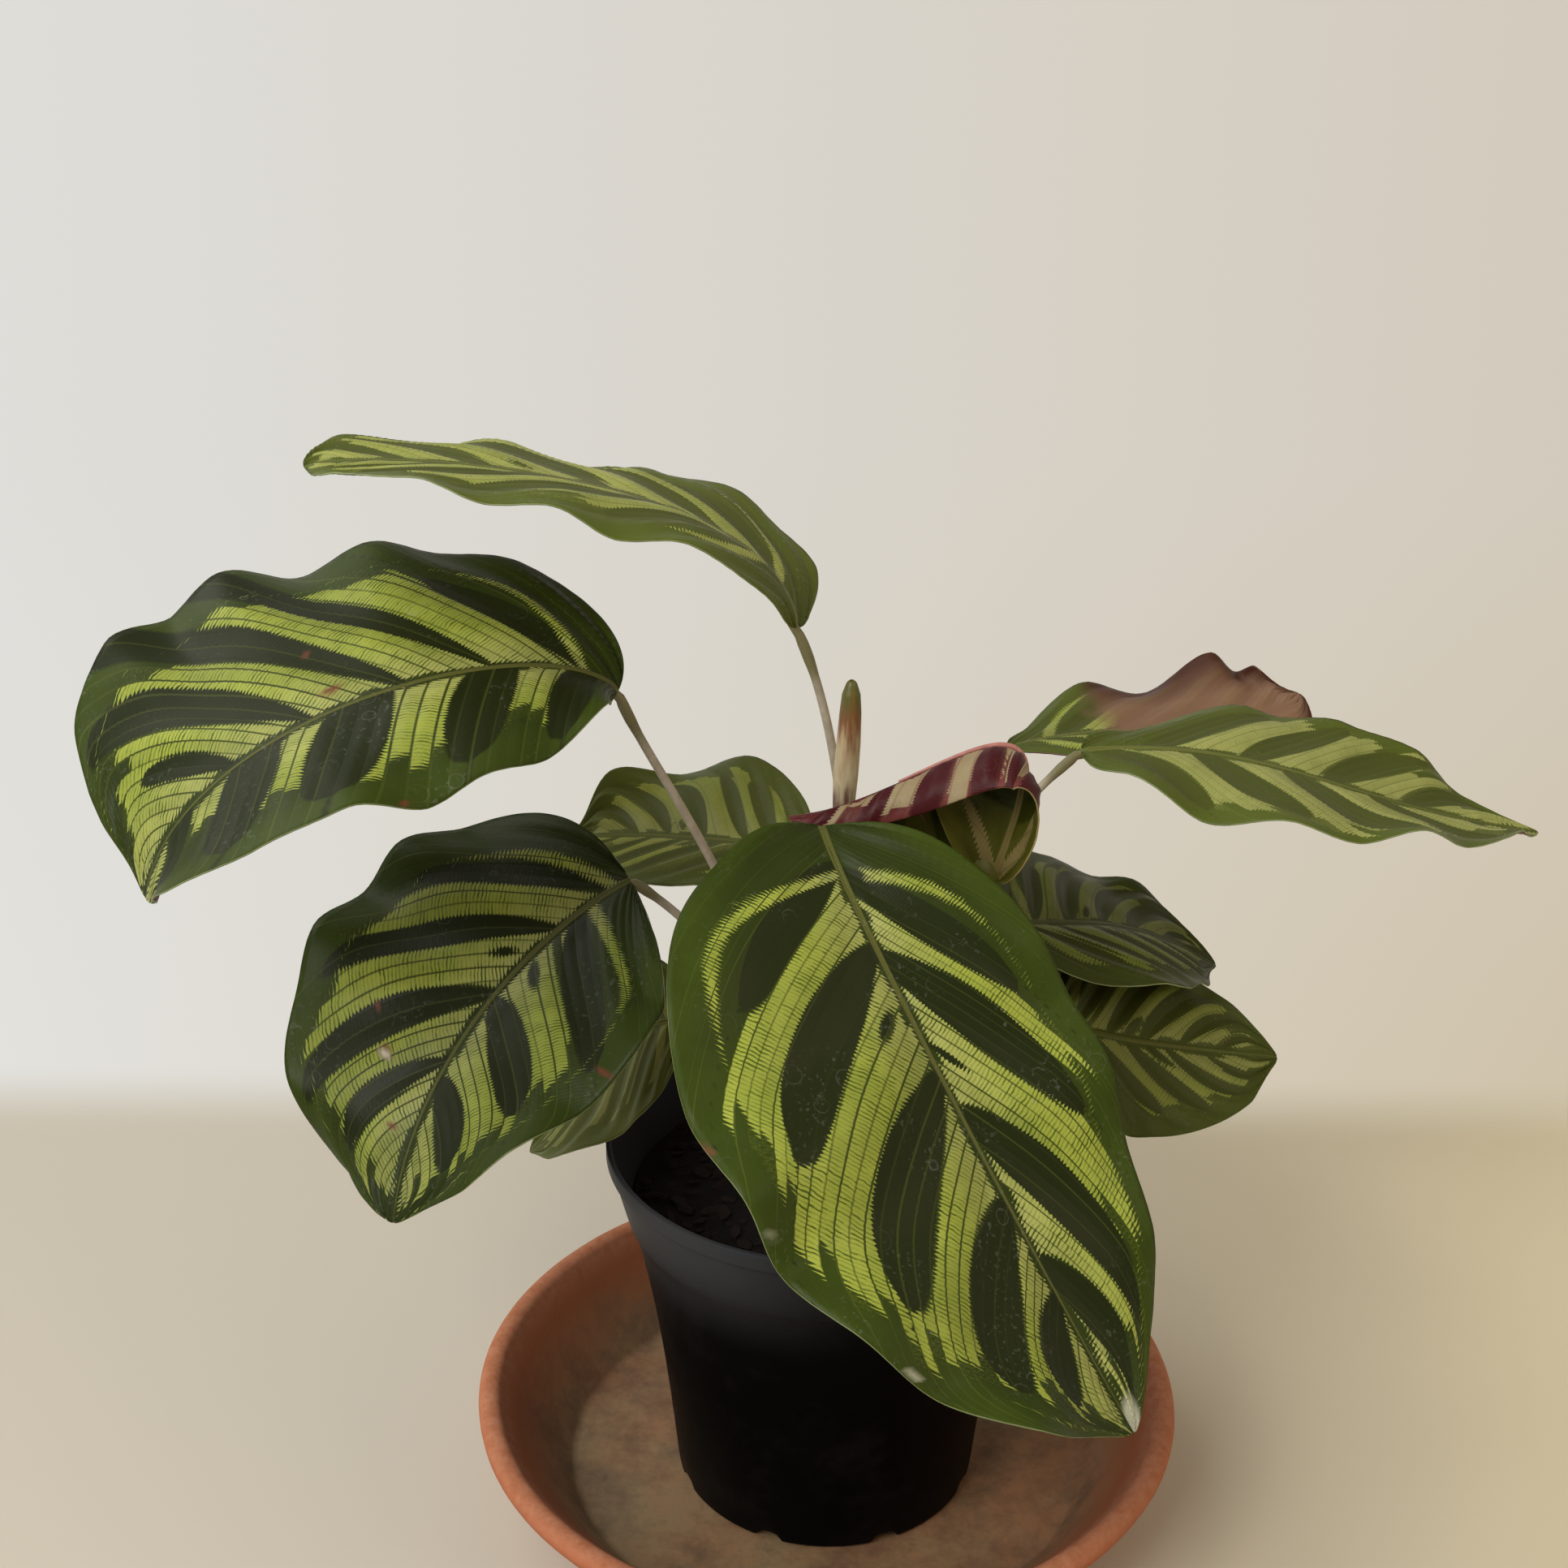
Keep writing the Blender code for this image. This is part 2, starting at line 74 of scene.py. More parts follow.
# Camera, fitted to the photograph: the lens in millimetres, the place in metres, the angles in degrees.
IMAGE_SIZE = 1932
FOCAL_PIXELS = 2800
SENSOR_WIDTH = 36.0
CAMERA_PLACE = (-0.0123, -0.4747, 0.3950)
CAMERA_PITCH = 22.99
CAMERA_ROLL = 0.61

# A leaf: the four Bezier points of its midrib from the stalk to the tip, the direction that its
# upper face looks in at each end (degrees round from the front, then degrees up), the widest half
# width on each side as seen from the stalk, how round its base and how sharp its tip are, how far
# the halves fold up, how the margins curl at each end (degrees, up is positive), the crests
# and hollows of each margin (place along it, height), where its stalk leaves the soil, how stiffly it
# rises there, and where it comes from as it meets the blade.
Leaf = namedtuple("Leaf", "name midrib face_base face_tip half_left half_right round_base sharp_tip "
                  "fold curl lift_left lift_right root rise arrive")
FLAT = ()

LEAVES = (
    Leaf("leaf_front",
         midrib=((-4, -20, 192), (0, -47, 189), (36, -61, 121), (63, -86, 82)),
         face_base=(11, 24), face_tip=(46, 20), half_left=35, half_right=59,
         round_base=0.63, sharp_tip=0.62, fold=18, curl=(-9, -9),
         lift_left=((0.22, -3), (0.4, 0), (0.49, -2), (0.6, 3), (0.7, -1), (0.8, 1), (0.9, -3)),
         lift_right=((0.1, -5), (0.26, -1), (0.4, -7), (0.5, 3), (0.6, -6), (0.7, 3), (0.8, -1), (0.9, 7)),
         root=(0, -9), rise=60, arrive=(1, 10, -24)),
    Leaf("leaf_left_high",
         midrib=((-49, -9, 219), (-62, -11, 236), (-135, -50, 230), (-146, -45, 185)),
         face_base=(-18, 74), face_tip=(-40, 54), half_left=34, half_right=62,
         round_base=0.63, sharp_tip=0.56, fold=7, curl=(-10, -10),
         lift_left=((0.1, 3), (0.29, -6), (0.4, -4), (0.5, -7), (0.62, 2), (0.75, 3), (0.9, 7)),
         lift_right=((0.17, 0), (0.3, -4), (0.38, -2), (0.5, -9), (0.62, 1), (0.7, -1), (0.79, 9),
                     (0.87, 9), (0.95, 6)),
         root=(-9, -4), rise=70, arrive=(8, 2, -24)),
    Leaf("leaf_left_low",
         midrib=((-48, 6, 166), (-73, -3, 155), (-96, -35, 135), (-98, -48, 107)),
         face_base=(-23, 60), face_tip=(-36, 32), half_left=43, half_right=48,
         round_base=0.45, sharp_tip=0.64, fold=12, curl=(-8, -8),
         lift_left=((0.1, 2), (0.2, -1), (0.3, 1), (0.59, -4), (0.8, 3)),
         lift_right=((0.19, -6), (0.3, 1), (0.39, -4), (0.51, 5), (0.62, 2), (0.75, 4), (0.9, -6)),
         root=(-13, 3), rise=50, arrive=(14, 2, -10)),
    Leaf("leaf_top",
         midrib=((-10, 9, 228), (-14, 22, 262), (-111, 18, 266), (-119, 15, 262)),
         face_base=(-14, 107), face_tip=(-19, 83), half_left=33, half_right=37,
         round_base=0.52, sharp_tip=0.58, fold=8, curl=(-14, -14),
         lift_left=((0.16, -3), (0.28, -2), (0.39, -5), (0.5, 0), (0.58, -1), (0.7, 4), (0.85, 4)),
         lift_right=((0.1, 6), (0.18, 5), (0.25, 6), (0.38, 1), (0.5, -6), (0.6, -2), (0.71, -7), (0.9, -1)),
         root=(5, 8), rise=70, arrive=(12, 0, -26)),
    Leaf("leaf_right",
         midrib=((60, 38, 187), (105, 35, 193), (123, 22, 179), (172, 33, 169)),
         face_base=(21, 83), face_tip=(20, 86), half_left=29, half_right=31,
         round_base=0.49, sharp_tip=0.65, fold=8, curl=(-13, -13),
         lift_left=((0.1, -6), (0.33, 0), (0.41, -1), (0.6, 4), (0.78, 6), (0.9, 0)),
         lift_right=((0.09, 3), (0.26, -4), (0.45, 2), (0.58, 0), (0.7, 6), (0.8, 2), (0.92, 5)),
         root=(11, 5), rise=60, arrive=(-18, -8, -12)),
    Leaf("leaf_right_low",
         midrib=((39, 11, 154), (59, 17, 149), (70, 34, 147), (97, 36, 130)),
         face_base=(20, 80), face_tip=(24, 82), half_left=33, half_right=32,
         round_base=0.48, sharp_tip=0.63, fold=10, curl=(-12, -12),
         lift_left=((0.4, 0), (0.55, -1), (0.7, -3), (0.8, 1), (0.9, -1)),
         lift_right=((0.2, -1), (0.4, 1), (0.6, 0), (0.8, 1)),
         root=(14, -1), rise=40, arrive=(-12, -4, -14)),
    Leaf("leaf_right_under",
         midrib=((50, -4, 137), (62, 0, 128), (82, 10, 121), (110, 16, 115)),
         face_base=(20, 55), face_tip=(26, 50), half_left=26, half_right=25,
         round_base=0.47, sharp_tip=0.61, fold=8, curl=(-12, -12),
         lift_left=((0.7, 0), (0.8, -2)),
         lift_right=((0.3, 0), (0.4, -2), (0.5, 0), (0.7, 1)),
         root=(13, -9), rise=30, arrive=(-14, -4, -8)),
    Leaf("leaf_back",
         midrib=((-5, 38, 161), (-30, 42, 159), (-42, 56, 157), (-66, 56, 154)),
         face_base=(-9, 80), face_tip=(-8, 78), half_left=26, half_right=33,
         round_base=0.50, sharp_tip=0.54, fold=13, curl=(-12, -12),
         lift_left=FLAT,
         lift_right=((0.2, -1), (0.45, 1), (0.7, -4), (0.9, 5)),
         root=(-4, 14), rise=40, arrive=(2, -8, -18)),
    Leaf("leaf_left_under",
         midrib=((-35, 10, 127), (-50, 10, 127), (-54, 8, 114), (-75, 14, 87)),
         face_base=(-22, 64), face_tip=(-35, 75), half_left=26, half_right=26,
         round_base=0.49, sharp_tip=0.66, fold=12, curl=(-12, -12),
         lift_left=((0.4, 1), (0.6, -1), (0.75, 1)),
         lift_right=((0.7, 0), (0.9, -3)),
         root=(-13, 11), rise=24, arrive=(12, 0, -4)),
    Leaf("leaf_right_far",
         midrib=((46, 76, 172), (68, 78, 180), (118, 86, 172), (124, 90, 183)),
         face_base=(10, 102), face_tip=(9, 62), half_left=28, half_right=24,
         round_base=0.51, sharp_tip=0.62, fold=8, curl=(-13, -13),
         lift_left=((0.1, -2), (0.3, 3), (0.5, -6), (0.7, 4), (0.8, -3), (0.9, 2)),
         lift_right=FLAT,
         root=(6, 16), rise=50, arrive=(-12, -14, -16)),
    Leaf("leaf_new",
         midrib=((35, -12, 176), (56, -6, 234), (16, -14, 194), (-11, -12, 191)),
         face_base=(-44, -21), face_tip=(-6, -76), half_left=26, half_right=18,
         round_base=0.37, sharp_tip=0.51, fold=18, curl=(29, 128),
         lift_left=FLAT, lift_right=FLAT,
         root=(8, -12), rise=50, arrive=(-6, 2, -14)),
)

# How much wider (or narrower) the left and the right half of a blade are at places along it.
SWELL = {
    "leaf_front": (((0.1, -0.7), (0.7, -0.5), (0.95, 1)), ((0.1, -0.7), (0.3, 0), (0.88, 0.5), (0.95, 4))),
    "leaf_left_high": (((0.06, -2), (0.2, -0.8), (0.9, 0.5)), ((0.4, -0.8), (0.8, -0.8))),
    "leaf_left_low": (((0.05, 1.5), (0.25, 1), (0.6, -0.5)), ((0.18, 0.7), (0.35, 0), (0.6, -1), (0.87, -2))),
    "leaf_right_low": (FLAT, ((0.8, 0), (0.9, 2.5))),
    "leaf_new": (((0.25, 2), (0.6, 9)), ((0.75, -5),)),
}
NO_SWELL = (FLAT, FLAT)

# The markings of one half of a blade: how its veins sweep towards the tip (linear, steep, power),
# the dark ovals (place along the midrib, half width as a share of the blade's length, how far out it
# ends), where the ovals start and how blunt they are, the small ovals near the midrib (place along
# it, then out from it), where the pale bands end, and where the narrow first band leaves the midrib,
# how slowly it nears the margin and how many millimetres from the midrib it starts.
Side = namedtuple("Side", "sweep ovals inner blunt buds end first")

# A scar is a brown spot and a bare patch a pale one: place along the midrib, out from it, and the two
# half sizes in millimetres. A place below zero is on the left half. The last values are how creamy
# the bands are, how light the whole blade is and how clear its fine lines are.
Marking = namedtuple("Marking", "left right scars bare cream tone fine")

USUAL_LEFT = Side(
    (0.33, 0.06, 4),
    ((0.16, 0.054, 0.72), (0.34, 0.056, 0.78), (0.51, 0.056, 0.80), (0.66, 0.048, 0.80), (0.80, 0.04, 0.8)),
    -0.03, 0.5, ((0.43, 0.12),), 0.84, (0.14, 0.06, 1.0))
USUAL_RIGHT = USUAL_LEFT._replace(
    ovals=((0.10, 0.056, 0.72), (0.25, 0.052, 0.78), (0.43, 0.056, 0.80), (0.60, 0.050, 0.80),
           (0.74, 0.04, 0.8)),
    buds=((0.52, 0.12),), first=(0.10, 0.07, 1.0))
USUAL = Marking(USUAL_LEFT, USUAL_RIGHT, (), (), 0.15, 0.9, 0.5)
RIGHT_LEFT = Side(
    (0.24, 0.05, 3),
    ((0.13, 0.058, 0.9), (0.34, 0.060, 0.9), (0.54, 0.058, 0.9), (0.73, 0.050, 0.9), (0.93, 0.07, 1.3)),
    -0.05, 0.4, (), 0.95, (0.9, 0.06, 1.0))
RIGHT_RIGHT = RIGHT_LEFT._replace(
    ovals=((0.02, 0.070, 0.84), (0.24, 0.060, 0.84), (0.45, 0.062, 0.84), (0.65, 0.054, 0.84),
           (0.88, 0.08, 1.3)))
YOUNG_LEFT = Side(
    (0.10, 0.0, 2),
    ((0.16, 0.07, 0.95), (0.38, 0.07, 0.9), (0.58, 0.065, 0.85), (0.76, 0.06, 0.9), (0.93, 0.05, 1.3)),
    -0.3, 0.45, (), 0.36, (-0.02, 0.10, 0.3))
YOUNG_RIGHT = YOUNG_LEFT._replace(
    end=1.1,
    ovals=((0.14, 0.075, 1.1), (0.30, 0.042, 1.3), (0.42, 0.050, 1.3), (0.59, 0.046, 1.2),
           (0.74, 0.036, 1.3), (0.88, 0.034, 1.3)))

MARKINGS = {
    "leaf_front": Marking(
        left=Side(
            (0.36, 0.10, 5),
            ((0.16, 0.066, 0.72), (0.33, 0.068, 0.74), (0.57, 0.073, 0.77), (0.77, 0.068, 0.74)),
            -0.02, 0.38, ((0.454, 0.10),), 0.86, (0.16, 0.077, 5.0)),
        right=Side(
            (0.21, 0.12, 4),
            ((0.135, 0.055, 0.68), (0.31, 0.057, 0.74), (0.51, 0.058, 0.74), (0.685, 0.054, 0.69),
             (0.81, 0.042, 0.5)),
            -0.03, 0.5, ((0.39, 0.12),), 0.90, (0.158, 0.021, 1.0)),
        scars=((0.439, 1.0, 0.9, 0.9),),
        bare=((-0.985, 0.30, 4.2, 2.0), (0.551, 0.98, 1.6, 0.9), (0.763, 0.97, 1.5, 0.9)),
        cream=0.0, tone=0.93, fine=1.0),
    "leaf_left_high": Marking(
        left=Side(
            (0.13, 0.0, 2),
            ((0.11, 0.066, 0.90), (0.305, 0.062, 0.84), (0.52, 0.068, 0.82), (0.69, 0.060, 0.80),
             (0.85, 0.045, 0.9)),
            -0.25, 0.36, (), 0.76, (0.9, 0.1, 1.0)),
        right=Side(
            (0.34, 0.0, 2),
            ((0.105, 0.050, 0.68), (0.303, 0.042, 1.2), (0.452, 0.045, 1.2), (0.597, 0.048, 0.90),
             (0.725, 0.034, 0.42)),
            -0.03, 0.5, (), 0.80, (0.115, 0.07, 1.0)),
        scars=((0.553, 0.10, 1.9, 1.1), (0.557, 0.33, 1.0, 0.6), (-0.537, 0.97, 1.0, 0.8)),
        bare=(),
        cream=0.0, tone=0.80, fine=1.0),
    "leaf_left_low": Marking(
        left=Side(
            (0.30, 0.10, 4),
            ((0.17, 0.072, 0.86), (0.44, 0.072, 0.68), (0.66, 0.062, 0.56)),
            0.0, 0.36, ((0.31, 0.13),), 0.80, (0.12, 0.06, 1.0)),
        right=Side(
            (0.36, 0.05, 4),
            ((0.03, 0.052, 0.78), (0.22, 0.050, 0.88), (0.43, 0.056, 0.90), (0.61, 0.052, 0.66)),
            -0.03, 0.5, ((0.30, 0.12),), 0.86, (0.04, 0.095, 1.0)),
        scars=((0.578, 0.51, 0.6, 1.0), (0.790, 0.18, 0.5, 1.3), (-0.478, 0.92, 0.5, 2.2),
               (0.651, 0.36, 1.1, 1.9)),
        bare=((0.651, 0.36, 0.7, 1.4),),
        cream=0.0, tone=0.62, fine=1.0),
    "leaf_right": Marking(RIGHT_LEFT, RIGHT_RIGHT, (), (), 0.9, 0.82, 0.45),
    "leaf_right_far": USUAL._replace(tone=0.8),
    "leaf_right_low": USUAL._replace(tone=0.36, fine=0.4),
    "leaf_right_under": USUAL._replace(tone=0.60, fine=0.4),
    "leaf_back": USUAL._replace(tone=0.7, fine=0.3),
    "leaf_left_under": USUAL._replace(cream=0.9, tone=0.92, fine=0.0),
    "leaf_top": USUAL._replace(cream=0.55, tone=0.91, fine=0.45),
    "leaf_new": Marking(YOUNG_LEFT, YOUNG_RIGHT, (), (), 0.4, 1.0, 0.45),
}

# The youngest leaf, still furled: height above the soil, drift to the right and radius.
SPEAR_ROOT = (2, 0)
SPEAR_STATIONS = ((-13, 0.0, 1.4), (0, 0.0, 1.4), (60, -0.6, 1.5), (94, -0.8, 1.8),
                  (100, -0.8, 2.6), (108, -0.5, 3.0), (116, 0.0, 2.9), (123, 0.3, 2.6),
                  (127, 0.4, 2.2), (129.5, 0.5, 1.2), (130, 0.5, 0.5))

# How far the tip is drawn in, and the width below which the waves of a margin die away, both as a
# share of the blade's width.
TIP_POINT = 0.35
WAVE_END = 0.4

# Stalks, keels and soil, in millimetres. A keel starts and ends at these shares of the midrib.
STEM_RADIUS = 1.02
ROOT_DEPTH = 13
KEEL_START = 0.01
KEEL_END = 0.72
KEEL_END_RADIUS = 0.3
KEEL_SINK = 0.1
SOIL_CROWN = 3
SOIL_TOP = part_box("soil")[1].z


def linear(hex_colour):
    """An sRGB hex colour as linear red, green and blue."""
    values = [int(hex_colour[place:place + 2], 16) / 255 for place in (1, 3, 5)]
    return tuple(value / 12.92 if value <= 0.04045 else ((value + 0.055) / 1.055) ** 2.4
                 for value in values)


def colour(name, description, hex_colour):
    """A colour that a user may change."""
    return FloatVectorProperty(name=name, description=description, subtype="COLOR", size=3,
                               min=0.0, max=1.0, default=linear(hex_colour))


def length(name, description, metres):
    """A length that a user may change."""
    return FloatProperty(name=name, description=description, unit="LENGTH", precision=4, default=metres)


class SaucerSettings(PropertyGroup):
    """Sizes and colours of the clay saucer."""
    rim_radius: length("Rim radius", "From the centre to the outside of the rim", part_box("saucer")[1].x)
    height: length("Height", "From the table to the top of the rim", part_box("saucer")[1].z)
    clay: colour("Clay", "The fired clay where it is clean", "#A65A38")
    bloom: colour("Bloom", "The pale lime bloom on the clay", "#B57C5E")
    stain: colour("Stain", "Where water has stood on the floor", "#806C50")


class PotSettings(PropertyGroup):
    """Sizes and colour of the nursery pot."""
    top_radius: length("Top radius", "From the centre to the outside of the lip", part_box("pot")[1].x)
    base: length("Base height", "The height of the pot's foot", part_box("pot")[0].z)
    top: length("Top height", "The height of the pot's lip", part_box("pot")[1].z)
    plastic: colour("Plastic", "The black polypropylene", "#050506")


class SoilSettings(PropertyGroup):
    """Colours of the soil and the number of its crumbs."""
    earth: colour("Earth", "Damp potting soil", "#0F0B08")
    bark: colour("Bark", "The chips of bark in it", "#1E1610")
    crumbs: IntProperty(name="Crumbs", description="How many crumbs lie on the soil", default=420)


class LeafSettings(PropertyGroup):
    """Sizes and colours of the leaves."""
    thickness: length("Thickness", "The thickness of a blade", 0.00036)
    columns: IntProperty(name="Columns", description="Faces across a blade", default=76)
    row_length: length("Row length", "The length of a blade that one row of faces covers", 0.00085)
    lime: colour("Lime", "The pale bands between the ovals", "#B4C052")
    cream: colour("Cream", "The bands where they meet the midrib", "#BFC07A")
    hatch: colour("Hatch", "The fine dark lines across the bands", "#4C5C18")
    oval: colour("Oval", "The dark ovals", "#252C11")
    margin: colour("Margin", "The plain green rim of a blade", "#3C4A15")
    midrib: colour("Midrib", "The midrib from above", "#5E6030")
    wine: colour("Wine", "The underside", "#5C2631")
    rose: colour("Rose", "The bands seen from below", "#9A6B5C")
    stalk: colour("Stalk", "The stalks", "#B4AC9A")


class StageSettings(PropertyGroup):
    """The table, the room and the light."""
    table: colour("Table", "The pale table top", "#C6C0B3")
    wall: colour("Wall", "The room on the side of the window", "#DFDEDA")
    wall_warm: colour("Warm wall", "The room on the far side", "#D0C6B6")
    ceiling: FloatProperty(name="Ceiling", description="How bright the room is overhead", default=0.62)
    behind: FloatProperty(name="Behind", description="How bright the room is behind the viewer", default=0.32)
    window: FloatProperty(name="Window", description="Power of the window light", unit="POWER", default=7.0)


class PlantSettings(PropertyGroup):
    """All that a user may change."""
    saucer: PointerProperty(type=SaucerSettings, name="Saucer", description="The clay saucer")
    pot: PointerProperty(type=PotSettings, name="Pot", description="The nursery pot")
    soil: PointerProperty(type=SoilSettings, name="Soil", description="The soil")
    leaf: PointerProperty(type=LeafSettings, name="Leaves", description="The leaves")
    stage: PointerProperty(type=StageSettings, name="Stage", description="The table and the light")


def node(tree, kind, inputs=(), out=0, sockets=range(5), stops=(), **settings):
    """Add a shader node with its settings and links, and return one of its outputs, if it has any.

    The inputs are a dict by socket, or else values that go into the given sockets in turn.
    """
    item = tree.nodes.new("ShaderNode" + kind)
    for name, value in settings.items():
        setattr(item, name, value)
    for place, value in inputs.items() if isinstance(inputs, dict) else zip(sockets, inputs):
        if isinstance(value, bpy.types.NodeSocket):
            tree.links.new(value, item.inputs[place])
        else:
            item.inputs[place].default_value = value
    for index, (place, value) in enumerate(stops):
        if index >= len(item.color_ramp.elements):
            item.color_ramp.elements.new(place)
        item.color_ramp.elements[index].position = place
        item.color_ramp.elements[index].color = value
    return item.outputs[out] if item.outputs else None


def new_material(name):
    """An empty material, and the function that adds its nodes."""
    material = bpy.data.materials.new(name)
    material.use_nodes = True
    material.node_tree.nodes.clear()
    return material, functools.partial(node, material.node_tree)


def rgba(colour_value):
    """A colour with full alpha, as sockets want it."""
    return (*colour_value[:3], 1.0)


def scaled(colour_value, factor):
    """A darker or lighter version of a colour, with full alpha."""
    return (*(min(channel * factor, 1.0) for channel in colour_value[:3]), 1.0)


def smoothstep(values, low, high):
    """Zero below low, one above high and a smooth rise between."""
    share = np.clip((values - low) / (high - low), 0.0, 1.0)
    return share * share * (3 - 2 * share)


def unit(vectors):
    """Rows scaled to length one."""
    return vectors / np.linalg.norm(vectors, axis=-1, keepdims=True)


def facing(direction):
    """The unit vector for degrees round from the front and degrees up."""
    around, up = (math.radians(value) for value in direction)
    return np.array((math.sin(around) * math.cos(up), -math.cos(around) * math.cos(up), math.sin(up)))


def curve_points(points, t):
    """Points at each t on the cubic curve through four control points."""
    a, b, c, d = (np.array(point, float) for point in points)
    t = np.asarray(t, float)[:, None]
    u = 1 - t
    return a * u ** 3 + 3 * b * u * u * t + 3 * c * u * t * t + d * t ** 3


def wave_heights(waves, s):
    """The height at each s, eased from each crest to the next hollow and zero at both ends."""
    places, heights = np.array(((0, 0),) + waves + ((1, 0),), float).T
    i = np.clip(np.searchsorted(places, s) - 1, 0, len(places) - 2)
    share = (s - places[i]) / (places[i + 1] - places[i])
    return heights[i] + (heights[i + 1] - heights[i]) * share * share * (3 - 2 * share)


def outline_share(leaf, s):
    """Half width at s as a share of the widest: round at the base, drawn out to the tip."""
    a, b = leaf.round_base, leaf.sharp_tip
    widest = a / (a + b)
    point = 1 - TIP_POINT * smoothstep(s, 0.88, 1.0)
    return (s / widest) ** a * ((1 - s) / (1 - widest)) ** b * point


def blade_frame(leaf, s):
    """The midrib's points, its directions and the blade's normals at each s, in millimetres."""
    a, b, c, d = (np.array(point, float) for point in leaf.midrib)
    t = s[:, None]
    u = 1 - t
    along = unit((b - a) * 3 * u * u + (c - b) * 6 * u * t + (d - c) * 3 * t * t)
    face = facing(leaf.face_base) * u + facing(leaf.face_tip) * t
    normal = unit(face - along * (face * along).sum(axis=1, keepdims=True))
    return curve_points(leaf.midrib, s), along, normal


def blade_surface(leaf, s, v):
    """Points of the blade and its normals there: s from stalk to tip, v from left to right margin."""
    centre, along, normal = blade_frame(leaf, s)
    side = np.where(v > 0, 1.0, -1.0)
    half = np.where(v > 0, leaf.half_right, leaf.half_left)
    lift = np.where(v > 0, wave_heights(leaf.lift_right, s), wave_heights(leaf.lift_left, s))
    across = np.cross(along, normal) * side[:, None]
    share = outline_share(leaf, s)
    near_end = np.minimum(1.0, share / WAVE_END)
    on_left, on_right = SWELL.get(leaf.name, NO_SWELL)
    swell = np.where(v > 0, wave_heights(on_right, s), wave_heights(on_left, s))
    lift = lift * near_end
    width = half * share + swell * near_end
    curl = np.radians(leaf.curl[0] + (leaf.curl[1] - leaf.curl[0]) * s)
    turn = curl * np.abs(v)
    out = width * np.sin(turn) / curl
    up = width * (1 - np.cos(turn)) / curl
    fold = math.radians(leaf.fold)
    sideways = out * math.cos(fold) - up * math.sin(fold)
    upward = out * math.sin(fold) + up * math.cos(fold) + lift * v * v
    slope = (fold + turn)[:, None]
    points = centre + across * sideways[:, None] + normal * upward[:, None]
    return points, normal * np.cos(slope) - across * np.sin(slope)


def blade_length(leaf):
    """The length of the midrib in millimetres."""
    points = curve_points(leaf.midrib, np.linspace(0, 1, 60))
    return float(np.linalg.norm(np.diff(points, axis=0), axis=1).sum())


# Markings and relief, with lengths in millimetres. The right half's strips are counted from a higher
# number, so that no two strips of a leaf are alike.
FAR_OUTSIDE = 99.0
RIGHT_STRIPS = 60.0
SEED_STEP = 3.7
OVAL_TAIL = 0.06
OVAL_EGG = 1.3
VEIN_SPACING = 3.7
BUD_SIZE = (1.7, 3.2)
BAND_START = 1.0
FIRST_BAND = 1.4
FIRST_BAND_REACH = 0.8
RIB_WIDTH = (0.85, 0.12)
STRIP_CREASE = 0.16
OVAL_SWELL = 0.45
RIB_RIDGE = 0.3


def side_marks(side, half, s, reach, width, long):
    """Where each point of one half of a blade lies in its markings, in millimetres."""
    sweep, steep, power = side.sweep
    q = s - sweep * reach - steep * reach ** power
    centres = np.array([oval[0] for oval in side.ovals])
    count = len(centres)
    pitch = (centres[-1] - centres[0]) / (count - 1)
    knots = np.concatenate(([centres[0] - 3 * pitch], centres, [centres[-1] + 3 * pitch]))
    phase = np.interp(q, knots, np.concatenate(([-3], np.arange(count), [count + 2])))
    veins = max(3, round(pitch * long / VEIN_SPACING))
    taper = np.clip(width / (0.6 * half), 0.25, 1.0)
    outside = np.full(len(s), FAR_OUTSIDE)
    for centre, girth, oval_end in side.ovals:
        along = np.clip((reach - side.inner) / (oval_end - side.inner), 0, 1) ** OVAL_EGG
        bulge = np.maximum((4 * along * (1 - along)) ** side.blunt, OVAL_TAIL)
        gap = np.abs(q - centre) * long - girth * long * bulge * taper
        outside = np.minimum(outside, gap)
    for place, out in side.buds:
        size = np.hypot((q - place) * long / BUD_SIZE[0], (reach - out) * width / BUD_SIZE[1])
        outside = np.minimum(outside, (size - 1) * BUD_SIZE[0])
    start, bend, clearance = side.first
    fall = np.exp(-np.maximum(s - start, 0) / bend)
    steepness = FIRST_BAND_REACH / bend * fall * width / long
    aside = np.abs(reach - FIRST_BAND_REACH * (1 - fall)) * width / np.sqrt(1 + steepness ** 2)
    thin = smoothstep(s, start + 0.07, start + 0.23) * 1.3
    first = FIRST_BAND - aside - np.maximum(start - s, 0) * long - thin * FIRST_BAND
    end = side.end - 0.28 * smoothstep(q, 0.5, 0.85)
    slant = math.atan2(0.8 * half, long * (sweep + steep * power * 0.5 ** (power - 1)))
    return {
        "strip": phase * veins,
        "phase": phase,
        "oval": outside,
        "inner": reach * width - BAND_START,
        "outer": np.minimum((end - reach) * width, (q - centres[0]) * long),
        "first": np.minimum(first, reach * width - clearance),
        "run": s * long * math.cos(slant) + reach * width * math.sin(slant),
    }


